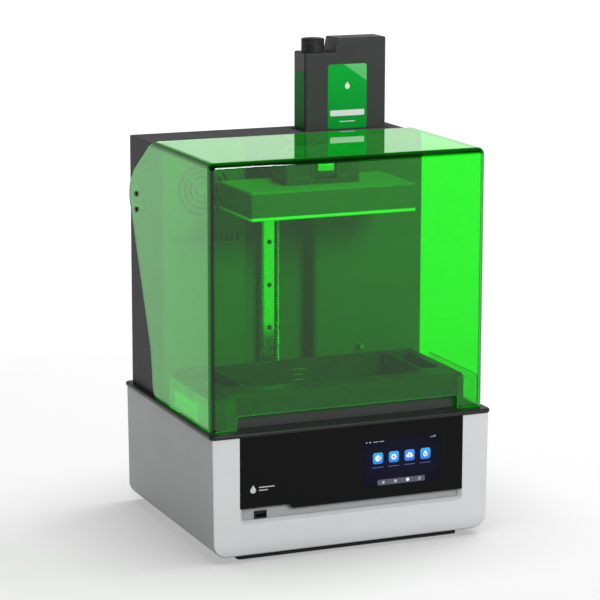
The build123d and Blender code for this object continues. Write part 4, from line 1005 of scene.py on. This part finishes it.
linked(area("key_front_right", (0.85, -4.15, 2.45), (0, 0, 0.3), 1.6, 182), "key_targets", "EXCLUDE")
inner = area("inner_top", (0.25, -0.15, 2.4), (0, -0.05, 0.5), 0.8, 70)
c_in = bpy.data.collections.new("inner_targets")
for _n in ("platform_body_finished", "head_block_finished", "build_surface_finished", "head_screws", "lever_tab",
           "release_lever_finished", "z_rail"):
    _o = bpy.data.objects.get(_n) or NODES.get(_n)
    if _o is not None:
        c_in.objects.link(_o)
inner.light_linking.receiver_collection = c_in
linked(area("floor_soft", (2.1, 0.5, 3.0), (0, 0, 0.0), 2.2, 118), "floor_targets", "INCLUDE")

world = bpy.data.worlds.new("studio")
bpy.context.scene.world = world
world.use_nodes = True
wn = world.node_tree
wn.nodes.clear()
wo = wn.nodes.new("ShaderNodeOutputWorld")
bg = wn.nodes.new("ShaderNodeBackground")
bg.inputs[1].default_value = 1.0


def wnode(kind, ins=None, **attrs):
    n = wn.nodes.new(kind)
    for k, v in attrs.items():
        setattr(n, k, v)
    for k, v in (ins or {}).items():
        if isinstance(v, bpy.types.NodeSocket):
            wn.links.new(v, n.inputs[k])
        else:
            n.inputs[k].default_value = v
    return n


dirs = wnode("ShaderNodeSeparateXYZ", {0: wnode("ShaderNodeTexCoord").outputs["Generated"]}).outputs
low = wnode("ShaderNodeMapRange", {"Value": dirs[2], "From Min": 0.20, "From Max": 0.42, "To Min": 1.0, "To Max": 0.0}).outputs[0]
rear = wnode("ShaderNodeMapRange", {"Value": dirs[1], "From Min": 0.05, "From Max": 0.45, "To Min": 0.0, "To Max": 1.0}).outputs[0]
wall = wnode("ShaderNodeMath", {0: low, 1: rear}, operation="MULTIPLY").outputs[0]
right = wnode("ShaderNodeMapRange", {"Value": dirs[0], "From Min": 0.3, "From Max": 1.0, "To Min": 0.05, "To Max": 0.30}).outputs[0]
lp = wnode("ShaderNodeLightPath").outputs
soft = wnode("ShaderNodeMapRange", {"Value": lp["Is Diffuse Ray"], "To Min": 1.0, "To Max": 0.25}).outputs[0]
wall = wnode("ShaderNodeMath", {0: wall, 1: soft}, operation="MULTIPLY").outputs[0]
env = wnode("ShaderNodeMath", {0: wall, 1: right}, operation="MAXIMUM").outputs[0]
bounced = wnode("ShaderNodeMath", {0: lp["Diffuse Depth"], 1: lp["Glossy Depth"]}, operation="ADD").outputs[0]
seen = wnode("ShaderNodeMath", {0: bounced, 1: 0.5}, operation="LESS_THAN").outputs[0]
level = wnode("ShaderNodeMath", {0: env, 1: seen}, operation="MAXIMUM").outputs[0]
rgb = wnode("ShaderNodeCombineColor", {0: level, 1: level, 2: level}).outputs[0]
wn.links.new(rgb, bg.inputs[0])
wn.links.new(bg.outputs[0], wo.inputs[0])

sc = bpy.context.scene
sc.view_settings.view_transform = "Standard"
sc.view_settings.look = "None"
sc.cycles.max_bounces = 20
sc.cycles.transmission_bounces = 16
sc.cycles.glossy_bounces = 6
sc.cycles.diffuse_bounces = 4
sc.cycles.transparent_max_bounces = 24
sc.cycles.sample_clamp_indirect = 4.0
sc.cycles.caustics_reflective = False
sc.cycles.caustics_refractive = False
sc.cycles.use_denoising = True

cam = bpy.data.cameras.new("camera")
cam.sensor_width = 36.0
cam.lens = 155.32
cam.clip_end = 100.0
cam.shift_x = -(302.04 - 300.0) / 600.0
cam.shift_y = (299.37 - 300.0) / 600.0
co = bpy.data.objects.new("camera", cam)
ROOT.objects.link(co)
AZ, EL, ROLL, DIST = 22.798, 11.604, 0.113, 3.72533
a, e = math.radians(-AZ), math.radians(EL)
back = Vector((math.sin(a) * math.cos(e), -math.cos(a) * math.cos(e), math.sin(e)))
target = Vector((-0.00323, 0.0, 0.32395))
co.location = target + back * DIST
q = (-back).to_track_quat("-Z", "Y")
co.rotation_euler = (q.to_matrix() @ Matrix.Rotation(math.radians(ROLL), 3, "Z")).to_euler()
sc.camera = co
